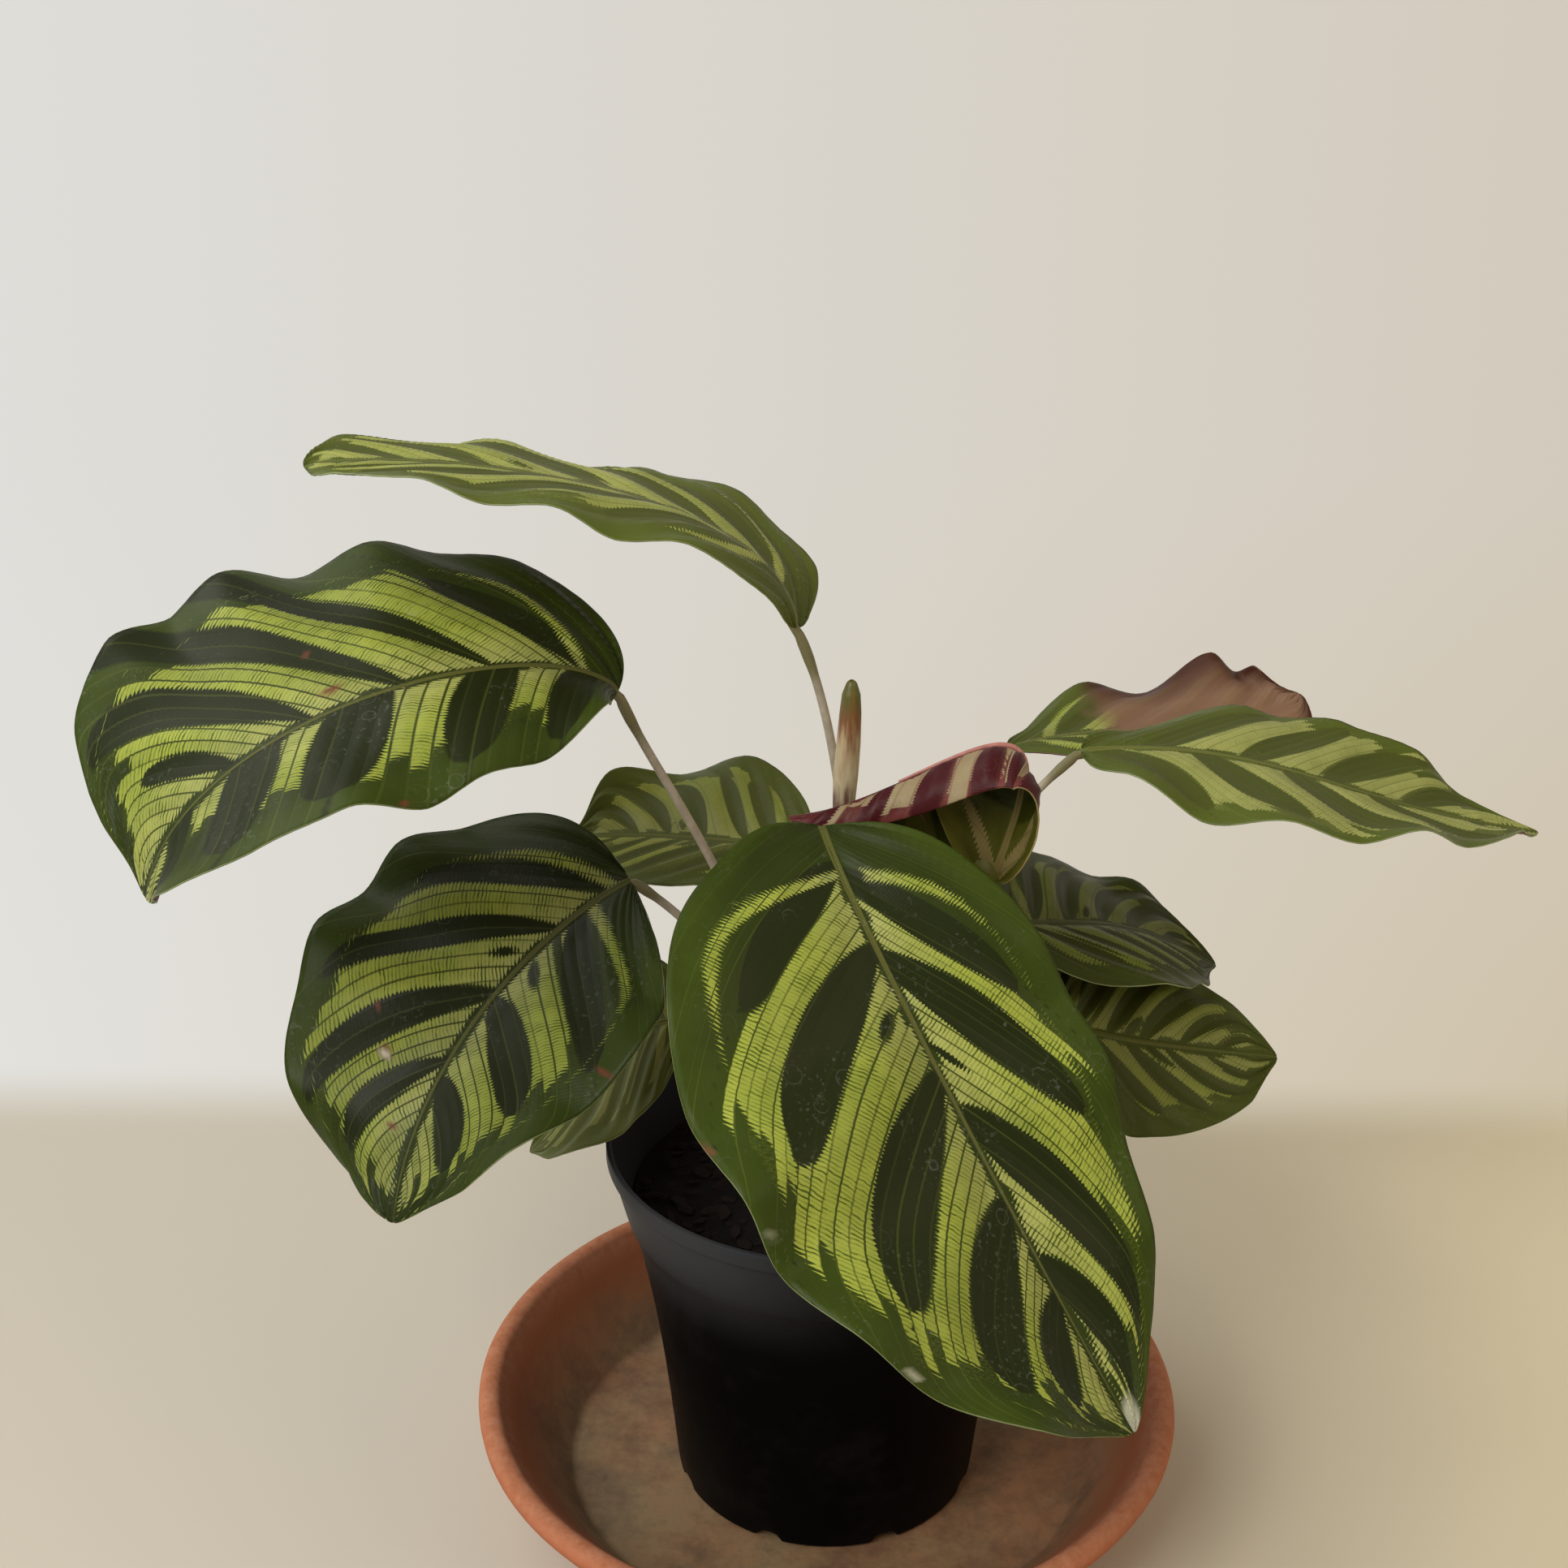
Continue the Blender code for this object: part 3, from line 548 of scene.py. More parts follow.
def blade_marks(leaf, s, v):
    """The blade's markings as named values for each point."""
    marking = MARKINGS.get(leaf.name, USUAL)
    long = blade_length(leaf)
    reach = np.abs(v)
    right = v > 0
    share = outline_share(leaf, s)
    width = np.where(right, leaf.half_right, leaf.half_left) * share
    on_left = side_marks(marking.left, leaf.half_left, s, reach, leaf.half_left * share, long)
    on_right = side_marks(marking.right, leaf.half_right, s, reach, leaf.half_right * share, long)
    marks = {name: np.where(right, on_right[name], on_left[name]) for name in on_left}
    marks["strip"] = marks["strip"] + np.where(right, RIGHT_STRIPS, 0.0)
    marks["reach"] = reach
    marks["rib"] = RIB_WIDTH[0] * (1 - s) + RIB_WIDTH[1] - reach * width
    for name, spots in (("scar", marking.scars), ("bare", marking.bare)):
        found = np.zeros(len(s))
        for place, out, long_half, wide_half in spots:
            size = np.hypot((s - abs(place)) * long / long_half, (reach - out) * width / wide_half)
            here = right if place > 0 else ~right
            found = np.maximum(found, np.where(here, np.clip(2.2 - 1.7 * size, 0, 1), 0))
        marks[name] = found
    marks["seed"] = np.full(len(s), LEAVES.index(leaf) * SEED_STEP + 1)
    for name in ("cream", "tone", "fine"):
        marks[name] = np.full(len(s), getattr(marking, name))
    marks["tip"] = s
    return marks


def blade_relief(marks):
    """How far each point stands off the plain blade: creases at the veins, swells and the midrib."""
    fade = smoothstep(marks["reach"], 0.03, 0.2) * (1 - 0.8 * smoothstep(marks["reach"], 0.75, 1.0))
    creases = -STRIP_CREASE * np.cos(2 * math.pi * marks["strip"])
    swell = -OVAL_SWELL * np.cos(2 * math.pi * marks["phase"])
    ridge = RIB_RIDGE * smoothstep(marks["rib"], -0.5, 0.6)
    return (creases + swell) * fade + ridge


def add_object(name, data):
    """Add an object with that data to the scene."""
    item = bpy.data.objects.new(name, data)
    bpy.context.scene.collection.objects.link(item)
    return item


def finished_mesh(name, shape):
    """The mesh of a bmesh that is done with."""
    mesh = bpy.data.meshes.new(name)
    shape.to_mesh(mesh)
    shape.free()
    return mesh


def add_piece(name, mesh, node_name, materials, crease=40):
    """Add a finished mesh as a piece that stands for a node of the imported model."""
    item = add_object(name, mesh)
    for material in materials:
        mesh.materials.append(material)
    mesh.shade_smooth()
    mesh.set_sharp_from_angle(angle=math.radians(crease))
    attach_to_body(item, BODY)
    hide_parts(node_name)
    return item


def bent_grid(name, rows, columns, place):
    """A flat grid bent into a surface. The place function turns shares along and across into points."""
    sheet = bmesh.new()
    bmesh.ops.create_grid(sheet, x_segments=rows, y_segments=columns, size=1.0)
    mesh = finished_mesh(name, sheet)
    flat = np.empty(len(mesh.vertices) * 3, np.float32)
    mesh.vertices.foreach_get("co", flat)
    flat = flat.reshape(-1, 3).astype(float)
    points, values = place((flat[:, 0] + 1) / 2, flat[:, 1])
    mesh.vertices.foreach_set("co", (points * MM).astype(np.float32).ravel())
    for key, numbers in values.items():
        attribute = mesh.attributes.new(key, "FLOAT", "POINT")
        attribute.data.foreach_set("value", numbers.astype(np.float32))
    return mesh


BLADE_END_SHARE = 0.0008
COLUMN_POWER = 1.35


def build_blade(settings, leaf, skins):
    """A leaf's blade: a fine sheet on the leaf's formula, with its creases, given its thickness.

    The skins are the materials of its upper face, its lower face and its edge.
    """
    def place(along, across):
        s = BLADE_END_SHARE + (1 - 2 * BLADE_END_SHARE) * (1 - np.cos(math.pi * along)) / 2
        v = -np.sign(across) * np.abs(across) ** COLUMN_POWER
        marks = blade_marks(leaf, s, v)
        points, normals = blade_surface(leaf, s, v)
        relief = blade_relief(marks) * np.minimum(1.0, outline_share(leaf, s) / 0.3)
        return points + normals * relief[:, None], marks

    rows = max(60, int(blade_length(leaf) * MM / settings.row_length))
    mesh = bent_grid(leaf.name + "_blade", rows, settings.columns, place)
    blade = add_piece(leaf.name + "_blade", mesh, leaf.name, skins, crease=70)
    solid = blade.modifiers.new("Thickness", "SOLIDIFY")
    solid.thickness = settings.thickness
    solid.offset = 0.0
    solid.material_offset = 1
    solid.material_offset_rim = 2


def line_frames(points):
    """Two directions across the line at each of its points, turned as little as possible."""
    tangents = unit(np.gradient(points, axis=0))
    first = np.cross(tangents[0], (0.0, 1.0, 0.0))
    if np.linalg.norm(first) < 0.1:
        first = np.cross(tangents[0], (1.0, 0.0, 0.0))
    sideways = []
    for tangent in tangents:
        first = first - tangent * first.dot(tangent)
        first = first / np.linalg.norm(first)
        sideways.append(first)
    sideways = np.array(sideways)
    return sideways, np.cross(tangents, sideways)


STALK_SIDES = 14


def tube_mesh(name, points, radii, along):
    """A closed tube along the points: a grid bent round them, its seam merged and its ends filled."""
    sideways, upward = line_frames(points)
    last = len(points) - 1

    def place(share, across):
        index = np.rint(share * last).astype(int)
        angle = (across + 1) * math.pi
        ring = sideways[index] * np.cos(angle)[:, None] + upward[index] * np.sin(angle)[:, None]
        return points[index] + ring * radii[index][:, None], {"along": along[index]}

    mesh = bent_grid(name, last, STALK_SIDES, place)
    shape = bmesh.new()
    shape.from_mesh(mesh)
    bmesh.ops.remove_doubles(shape, verts=shape.verts, dist=0.01 * MM)
    bmesh.ops.holes_fill(shape, edges=shape.edges, sides=STALK_SIDES)
    bmesh.ops.recalc_face_normals(shape, faces=shape.faces)
    shape.to_mesh(mesh)
    shape.free()
    return mesh


STALK_STEPS = 44
KEEL_STEPS = 26
JOINT_START = 0.86
JOINT_SWELL = 0.28
ROOT_SWELL = 0.5


def stalk_line(leaf):
    """The stalk's line and radii: up from the soil, over into the blade, on below its midrib."""
    foot = np.array((leaf.root[0], leaf.root[1], SOIL_TOP / MM))
    attach = np.array(leaf.midrib[0], float)
    path = (foot, foot + (0, 0, leaf.rise), attach + leaf.arrive, attach)
    share = np.linspace(0, 1, STALK_STEPS, endpoint=False)
    line = curve_points(path, share)
    joint = smoothstep(share, JOINT_START, 0.92) * (1 - smoothstep(share, 0.95, 1.0))
    radii = STEM_RADIUS + JOINT_SWELL * joint + ROOT_SWELL * (1 - smoothstep(share, 0.0, 0.2))
    keel = np.linspace(0, 1, KEEL_STEPS)
    keel_radii = STEM_RADIUS + (KEEL_END_RADIUS - STEM_RADIUS) * keel
    centre, _, normal = blade_frame(leaf, KEEL_START + (KEEL_END - KEEL_START) * keel)
    below = centre - normal * (keel_radii - KEEL_SINK)[:, None]
    root = foot - (0, 0, ROOT_DEPTH)
    points = np.vstack((root[None, :], line, below))
    all_radii = np.concatenate(([STEM_RADIUS], radii, keel_radii))
    return points, all_radii, np.concatenate(([0.0], share, 1 + keel))


def build_leaf(settings, leaf, skins, stalk):
    """A leaf: its blade, and its stalk with the swollen joint and the keel under the midrib."""
    build_blade(settings, leaf, skins)
    mesh = tube_mesh(leaf.name + "_stalk", *stalk_line(leaf))
    add_piece(leaf.name + "_stalk", mesh, leaf.name, (stalk,))


# How a leaf dries from its tip: where along it that starts and is full, how much shows, two colours.
Wilt = namedtuple("Wilt", "start full share pale dark")

# On a real leaf the fine cross lines are about 0.6 mm apart, too fine for the picture, so they are
# drawn at this spacing.
HATCH_SPACING = 0.85
RING_CELL = 9.0
GRAIN_SIZE = 1.1
EDGE_PATCH = 6.25

# Noise scales of the leaves, in features to the metre: blotches of 18 mm, drops within 14 mm, patches
# of 4.8 mm, waves of 3.8 mm in the cross lines, blots of 2.4 mm on a stalk and specks of 1.1 mm.
MOTTLE_SCALE = 55.0
DROPS_SCALE = 70.0
PATCH_SCALE = 210.0
WANDER_SCALE = 260.0
BLOT_SCALE = 420.0
SPECK_SCALE = 900.0

SCAR_COLOUR = "#7A4432"
BARE_COLOUR = "#C9C9B4"
OLD_UNDER = ("#8A7460", "#8A7460", "#5E4434", "#5C4636", "#3E2A20", "#7A6450", "#9A8A7C")
YOUNG_UPPER = ("#7C6E46", "#86764C", "#4A4418", "#2E3208", "#54521A", "#6A5E34", "#98A093")
YOUNG_UNDER = ("#968D6B", "#9A8E6C", "#8A6450", "#421519", "#6A3432", "#8A5A4C", "#98A093")

# The colours of one face of a blade, and the markings that its mesh holds for the shader.
Palette = namedtuple("Palette", "band cream hatch oval margin rib blotch")
LEAF_FIELDS = ("strip", "reach", "oval", "inner", "outer", "first", "run", "rib", "scar", "bare", "cream",
               "tone", "fine", "seed", "tip")


def add_strips(add, field):
    """Give each strip between two veins its number and random values, and find the skin clear of veins."""
    strip_id = add("Math", (field["strip"],), operation="FLOOR")
    field["key"] = add("Math", (field["seed"], 17.3, strip_id), operation="MULTIPLY_ADD")
    chance = add("TexWhiteNoise", {"W": field["key"]}, out="Color", noise_dimensions="1D")
    field["chances"] = add("SeparateColor", (chance,)).node.outputs
    vein = add("Math", (field["strip"], 0.5), operation="PINGPONG")
    vein_id = add("Math", (field["strip"],), operation="ROUND")
    field["weight"] = add("TexWhiteNoise", {"W": vein_id}, noise_dimensions="1D")
    field["vein"] = add("MapRange", (vein, 0.035, 0.105, 1.0, 0.0), **SMOOTH)
    strong = add("MapRange", (field["weight"], 0.0, 0.6, 0.45))
    strong = add("Math", (strong, field["fine"]), operation="MULTIPLY")
    strong = add("Math", (field["vein"], strong), operation="MULTIPLY")
    field["clear"] = add("Math", (1.0, strong), operation="SUBTRACT")


def add_cross_lines(add, field):
    """Fine lines cross the strips, and end as teeth along the edges of the bands."""
    field["wander"] = add("TexNoise", {"Vector": field["place"], "Scale": WANDER_SCALE, "Detail": 2.0})
    crossing = add("Math", (field["wander"], 1.1, field["run"]), operation="MULTIPLY_ADD")
    tooth = add("Math", (crossing, HATCH_SPACING / 2), operation="PINGPONG")
    tooth_id = add("Math", (crossing, HATCH_SPACING), operation="DIVIDE")
    tooth_id = add("Math", (tooth_id,), operation="ROUND")
    tooth_id = add("Math", (tooth_id, field["key"]), operation="ADD")
    chance = add("TexWhiteNoise", {"W": tooth_id}, noise_dimensions="1D")
    field["uneven"] = add("MapRange", (chance, 0.0, 1.0, 0.45, 1.5))
    teeth = add("MapRange", (tooth, 0.0, HATCH_SPACING / 2, -0.5, 0.5))
    longer = add("MapRange", (field["outer"], 0.0, 8.0, 1.9, 1.0))
    longer = add("Math", (longer, field["fine"]), operation="MULTIPLY")
    longer = add("Math", (field["uneven"], longer), operation="MULTIPLY")
    field["teeth"] = add("Math", (teeth, longer), operation="MULTIPLY")
    field["lines"] = add("MapRange", (tooth, 0.03, 0.26, 1.0, 0.0), **SMOOTH)


def band_mask(add, field):
    """A band is what lies past its start, short of its end and outside the ovals."""
    start = add("Math", (field["chances"][0], -1.3, field["inner"]), operation="MULTIPLY_ADD")
    end = add("Math", (field["chances"][1], -7.5, field["outer"]), operation="MULTIPLY_ADD")
    edge = add("Math", (start, end), operation="MINIMUM")
    step = add("Math", (field["chances"][2], 0.5), operation="SUBTRACT")
    step = add("Math", (step, 1.5, field["oval"]), operation="MULTIPLY_ADD")
    edge = add("Math", (edge, step), operation="MINIMUM")
    edge = add("Math", (edge, field["first"]), operation="MAXIMUM")
    edge = add("Math", (edge, field["teeth"]), operation="ADD")
    banded = add("MapRange", (edge, -0.15, 0.15), **SMOOTH)
    return add("Math", (banded, field["clear"]), operation="MULTIPLY")


def ground_colour(add, field, colours):
    """The plain green of the margin darkens into the ovals, with a faint vein here and there."""
    depth = add("MapRange", (field["oval"], -0.6, 0.8, 1.0, 0.0), **SMOOTH)
    inward = add("MapRange", (field["reach"], 0.62, 0.9, 1.0, 0.0), **SMOOTH)
    inward = add("Math", (inward, 0.55), operation="MULTIPLY")
    depth = add("Math", (depth, inward), operation="MAXIMUM")
    margin = (scaled(colours.margin, 0.65), scaled(colours.margin, 1.35))
    ground = add("Mix", (depth, add("Mix", (field["mottle"], *margin), **TINTS), colours.oval), **TINTS)
    seldom = add("MapRange", (field["weight"], 0.35, 1.0, 0.0, 0.08))
    faint = add("Math", (field["vein"], seldom), operation="MULTIPLY")
    return add("Mix", (faint, ground, colours.band), **TINTS)


def band_colour(add, field, colours, hatch):
    """The bands are creamy near the midrib and hatched further out."""
    paler = add("MapRange", (field["inner"], 0.0, 14.0, 0.8, 0.0))
    paler = add("Math", (paler, field["cream"]), operation="MAXIMUM")
    tint = add("Mix", (paler, colours.band, colours.cream), **TINTS)
    shade = add("MapRange", (field["mottle"], 0.3, 0.7, 0.0, 0.32))
    shade = add("Math", (field["chances"][1], 0.22, shade), operation="MULTIPLY_ADD")
    tint = add("Mix", (shade, tint, colours.hatch), **TINTS)
    patchy = add("TexNoise", {"Vector": field["place"], "Scale": PATCH_SCALE, "Detail": 3.0,
                              "Roughness": 0.7})
    patchy = add("MapRange", (patchy, 0.38, 0.62, 0.35, 1.4))
    patchy = add("Math", (patchy, field["fine"]), operation="MULTIPLY")
    ruled = add("Math", (field["uneven"], hatch), operation="MULTIPLY")
    ruled = add("Math", (ruled, patchy), operation="MULTIPLY")
    ruled = add("Math", (field["lines"], ruled), operation="MULTIPLY", use_clamp=True)
    return add("Mix", (ruled, tint, colours.hatch), **TINTS)


def dried_drops(add, field, rings):
    """Dried drops leave pale rings and specks of lime."""
    place = field["place"]
    cells = add("TexVoronoi", {"Vector": place, "Scale": 1 / (RING_CELL * MM), "Randomness": 1.0},
                out="Distance")
    ring = add("Math", (field["wander"], 0.06, cells), operation="MULTIPLY_ADD")
    ring = add("Math", (ring, 0.25), operation="SUBTRACT")
    ring = add("MapRange", (ring, 0.0, 0.03))
    ring = add("Math", (ring, 0.5), operation="PINGPONG")
    some = add("MapRange", (add("TexNoise", {"Vector": place, "Scale": DROPS_SCALE}), 0.48, 0.64))
    ring = add("Math", (ring, some), operation="MULTIPLY")
    dust = add("TexNoise", {"Vector": place, "Scale": SPECK_SCALE, "Detail": 2.0})
    dust = add("MapRange", (dust, 0.60, 0.72, 0.0, 0.55))
    dust = add("Math", (dust, some), operation="MULTIPLY")
    marks = add("Math", (ring, dust), operation="ADD")
    return add("Math", (marks, rings), operation="MULTIPLY")


def wilted(add, field, skin, wilt):
    """The skin with its far part dried, crisp and darker at the margin."""
    drier = add("Math", (field["mottle"], 0.25, field["tip"]), operation="MULTIPLY_ADD")
    drier = add("MapRange", (drier, wilt.start, wilt.full), **SMOOTH)
    crisp = add("MapRange", (field["reach"], 0.4, 0.9))
    dry = add("Mix", (crisp, rgba(linear(wilt.pale)), rgba(linear(wilt.dark))), **TINTS)
    drier = add("Math", (drier, wilt.share), operation="MULTIPLY")
    return add("Mix", (drier, skin, dry), **TINTS)


def lamina_material(name, colours, roughness, hatch=0.7, rings=0.35, wilt=None, soft=0.5):
    """Living leaf: a satin skin over fine ribs, so light slides along it in broad soft patches."""
    material, add = new_material(name)
    colours = Palette(*map(rgba, colours))
    field = {key: add("Attribute", out="Fac", attribute_name=key) for key in LEAF_FIELDS}
    shift = add("CombineXYZ", {"X": field["seed"]})
    field["place"] = add("VectorMath", (add("TexCoord", out="Object"), shift), operation="ADD")
    field["mottle"] = add("TexNoise", {"Vector": field["place"], "Scale": MOTTLE_SCALE, "Detail": 3.0,
                                       "Roughness": 0.6})
    add_strips(add, field)
    add_cross_lines(add, field)
    marks = dried_drops(add, field, rings)
    skin = add("Mix", (band_mask(add, field), ground_colour(add, field, colours),
                       band_colour(add, field, colours, hatch)), **TINTS)
    ribbed = add("MapRange", (field["rib"], -0.12, 0.12), **SMOOTH)
    skin = add("Mix", (ribbed, skin, colours.rib), **TINTS)
    skin = add("Mix", (marks, skin, colours.blotch), **TINTS)
    skin = add("Mix", (field["scar"], skin, rgba(linear(SCAR_COLOUR))), **TINTS)

    # Far leaves are less distinct: their bands run into the ovals.
    blur = add("MapRange", (field["fine"], 0.0, 1.0, soft, 0.0))
    skin = add("Mix", (blur, skin, add("Mix", (0.5, colours.oval, colours.band), **TINTS)), **TINTS)
    grey = add("CombineColor", (field["tone"],) * 3)
    skin = add("Mix", (1.0, skin, grey), blend_type="MULTIPLY", **TINTS)
    worn = add("Math", (field["bare"], 0.7), operation="MULTIPLY")
    skin = add("Mix", (worn, skin, rgba(linear(BARE_COLOUR))), **TINTS)
    if wilt:
        skin = wilted(add, field, skin, wilt)

    # Heights are in millimetres: sunken veins, fine cross ribs and the grain of the skin.
    grain = add("TexNoise", {"Vector": field["place"], "Scale": 1 / (GRAIN_SIZE * MM), "Detail": 3.0})
    height = add("Math", (field["lines"], -0.015), operation="MULTIPLY")
    height = add("Math", (field["clear"], 0.05, height), operation="MULTIPLY_ADD")
    height = add("Math", (grain, 0.05, height), operation="MULTIPLY_ADD")
    bump = add("Bump", {"Height": height, "Strength": 0.6, "Distance": MM})
    gloss = add("MapRange", (field["mottle"], 0.3, 0.7, roughness - 0.04, roughness + 0.06))
    gloss = add("Math", (marks, 0.3, gloss), operation="MULTIPLY_ADD")
    shader = add("BsdfPrincipled", {"Base Color": skin, "Roughness": gloss, "IOR": 1.42,
                                    "Specular IOR Level": 0.16, "Normal": bump})
    add("OutputMaterial", {"Surface": shader})
    return material


def edge_material(name, tint):
    """The bare cut of a leaf's margin: a thin waxy line that catches the light."""
    material, add = new_material(name)
    place = add("TexCoord", out="Object")
    patch = add("TexNoise", {"Vector": place, "Scale": 1 / (EDGE_PATCH * MM), "Detail": 2.0})
    pale = add("Mix", (patch, scaled(tint, 0.6), scaled(tint, 1.3)), **TINTS)
    shader = add("BsdfPrincipled", {"Base Color": pale, "Roughness": 0.5})
    add("OutputMaterial", {"Surface": shader})
    return material


def stalk_material(name, low, high, joint):
    """Leaf stalk: fleshy and matt with darker blots, from one colour to another, and a third at its joint."""
    material, add = new_material(name)
    along = add("Attribute", out="Fac", attribute_name="along")
    place = add("TexCoord", out="Object")
    blots = add("TexNoise", {"Vector": place, "Scale": BLOT_SCALE, "Detail": 2.0})
    body = add("Mix", (along, rgba(low), rgba(high)), clamp_factor=True, **TINTS)
    swollen = add("MapRange", (along, 0.8, 0.9), **SMOOTH)
    body = add("Mix", (swollen, body, rgba(joint)), **TINTS)
    dark = add("MapRange", (blots, 0.35, 0.7, 0.0, 0.35))
    body = add("Mix", (dark, body, scaled(low, 0.5)), **TINTS)
    bump = add("Bump", {"Height": blots, "Strength": 0.4, "Distance": 0.2 * MM})
    shader = add("BsdfPrincipled", {"Base Color": body, "Roughness": 0.5, "Normal": bump})
    add("OutputMaterial", {"Surface": shader})
    return material


TURN_STEPS = 192


def arc(radius, height, size, start, end, steps):
    """Profile points on a circle of the given size, between two angles in degrees."""
    angles = [math.radians(start + (end - start) * index / steps) for index in range(steps + 1)]
    return [(radius + size * math.cos(angle), height + size * math.sin(angle)) for angle in angles]


def turned_mesh(name, profile, adjust):
    """A closed turned shape from a profile in millimetres that starts and ends on the axis.

    The adjust function then moves each of its points.
    """
    shape = bmesh.new()
    points = [shape.verts.new((radius * MM, 0, height * MM)) for radius, height in profile]
    edges = [shape.edges.new(pair) for pair in zip(points, points[1:])]
    bmesh.ops.spin(shape, geom=points + edges, cent=(0, 0, 0), axis=(0, 0, 1), dvec=(0, 0, 0),
                   angle=2 * math.pi, steps=TURN_STEPS, use_merge=True, use_duplicate=False)
    bmesh.ops.remove_doubles(shape, verts=shape.verts, dist=0.005 * MM)
    bmesh.ops.recalc_face_normals(shape, faces=shape.faces)
    for vertex in shape.verts:
        vertex.co = adjust(vertex.co)
    return finished_mesh(name, shape)


SAUCER_FOOT_RADIUS = 69.0
SAUCER_FLOOR = 7.0
SAUCER_INNER_FOOT_RADIUS = 66.0
SAUCER_WALL = 6.0
SAUCER_CORNER = 3.0
SAUCER_FOOT_CHAMFER = 1.5


def saucer_profile(settings):
    """The saucer's outline from the middle of its floor, over the rim, to the middle of its foot."""
    rim = settings.rim_radius / MM
    height = settings.height / MM
    lip = SAUCER_WALL / 2
    corner = (SAUCER_INNER_FOOT_RADIUS - SAUCER_CORNER, SAUCER_FLOOR + SAUCER_CORNER)
    profile = [(radius, SAUCER_FLOOR) for radius in (0, 12, 24, 36, 46, 56)]
    profile += arc(*corner, SAUCER_CORNER, -90, -35, 6)
    top = arc(rim - lip, height - lip, lip, 150, -30, 20)
    profile += between(profile[-1], top[0], 10)
    profile += top
    foot = (SAUCER_FOOT_RADIUS + SAUCER_FOOT_CHAMFER / 2, SAUCER_FOOT_CHAMFER)
    profile += between(top[-1], foot, 12)
    profile += [foot, (SAUCER_FOOT_RADIUS + 0.2, 0.35), (SAUCER_FOOT_RADIUS, 0), (40, 0), (0, 0)]
    return profile


def between(start, end, count):
    """Points that divide a straight stretch of profile, without its ends."""
    shares = [index / count for index in range(1, count)]
    return [(start[0] + (end[0] - start[0]) * share, start[1] + (end[1] - start[1]) * share)
            for share in shares]


# How far the wall wavers, in millimetres, and the scale of that noise: dents of 36 mm and of 7 mm.
CLAY_WAVERS = ((0.25, 28.0), (0.07, 140.0))


def hand_pressed(co):
    """Clay isn't true: the wall wavers by a few tenths of a millimetre."""
    radius = math.hypot(co.x, co.y)
    waver = sum(size * MM * noise.noise(co * scale) for size, scale in CLAY_WAVERS)
    if co.z < 2 * MM or radius < 1 * MM:
        return co
    out = Vector((co.x / radius, co.y / radius, 0))
    return co + out * waver * min(1.0, co.z / (10 * MM))


# Noise scales in features to the metre: clouds of 38 mm, mould of 13 mm, grit of 2.9 mm and pits of
# 1.4 mm, which the plastic has too. Real grit is finer, but wouldn't show.
CLOUD_SCALE = 26.0
MOULD_SCALE = 75.0
GRIT_SCALE = 340.0
PIT_SCALE = 700.0


def terracotta_material(settings):
    """Terracotta, pressed and fired unglazed: dry and chalky, stained where water has stood."""
    material, add = new_material("terracotta_unglazed")
    place = add("TexCoord", out="Object")
    parts = add("SeparateXYZ", (place,)).node.outputs
    flat = add("CombineXYZ", (parts["X"], parts["Y"]))
    radius = add("VectorMath", (flat,), out="Value", operation="LENGTH")
    cloud = add("TexNoise", {"Vector": place, "Scale": CLOUD_SCALE, "Detail": 5.0, "Roughness": 0.65})
    fine = add("TexNoise", {"Vector": place, "Scale": GRIT_SCALE, "Detail": 4.0, "Roughness": 0.7})
    clay = add("Mix", (cloud, scaled(settings.clay, 0.75), scaled(settings.clay, 1.2)), **TINTS)

    # Inside, the wall is darker and damp, and the floor has a beige film with brown blots.
    leaning = add("Math", (parts["Z"], -0.89, radius), operation="MULTIPLY_ADD")
    inner = add("MapRange", (leaning, 0.0585, 0.0615, 1.0, 0.0), **SMOOTH)
    damp = add("Math", (inner, 0.8), operation="MULTIPLY")
    clay = add("Mix", (damp, clay, rgba(linear("#8E4E2A"))), **TINTS)
    low = add("MapRange", (parts["Z"], 0.007, 0.030, 1.0, 0.0), **SMOOTH)
    low = add("Math", (low, inner), operation="MULTIPLY")
    film = add("Math", (low, add("MapRange", (cloud, 0.36, 0.66, 1.0, 0.6))), operation="MULTIPLY")
    clay = add("Mix", (film, clay, rgba(settings.stain)), **TINTS)
    mould = add("TexNoise", {"Vector": place, "Scale": MOULD_SCALE, "Detail": 5.0, "Roughness": 0.75})
    mould = add("Math", (low, add("MapRange", (mould, 0.42, 0.72, 0.0, 0.7))), operation="MULTIPLY")
    clay = add("Mix", (mould, clay, rgba(linear("#43342A"))), **TINTS)

    # The rim and the outside have a thin pale bloom.
    rim = add("MapRange", (parts["Z"], 0.024, 0.031), **SMOOTH)
    bloom = add("Math", (rim, add("MapRange", (fine, 0.3, 0.65, 0.25, 0.8))), operation="MULTIPLY")
    clay = add("Mix", (bloom, clay, rgba(settings.bloom)), **TINTS)
    pits = add("TexVoronoi", {"Vector": place, "Scale": PIT_SCALE, "Randomness": 1.0})
    height = add("Math", (fine, 0.6, pits), operation="MULTIPLY_ADD")
    bump = add("Bump", {"Height": height, "Strength": 0.35, "Distance": 0.12 * MM})
    gloss = add("MapRange", (film, 0.0, 1.0, 0.88, 0.6))
    shader = add("BsdfPrincipled", {"Base Color": clay, "Roughness": gloss, "Specular IOR Level": 0.3,
                                    "Normal": bump})
    add("OutputMaterial", {"Surface": shader})
    return material


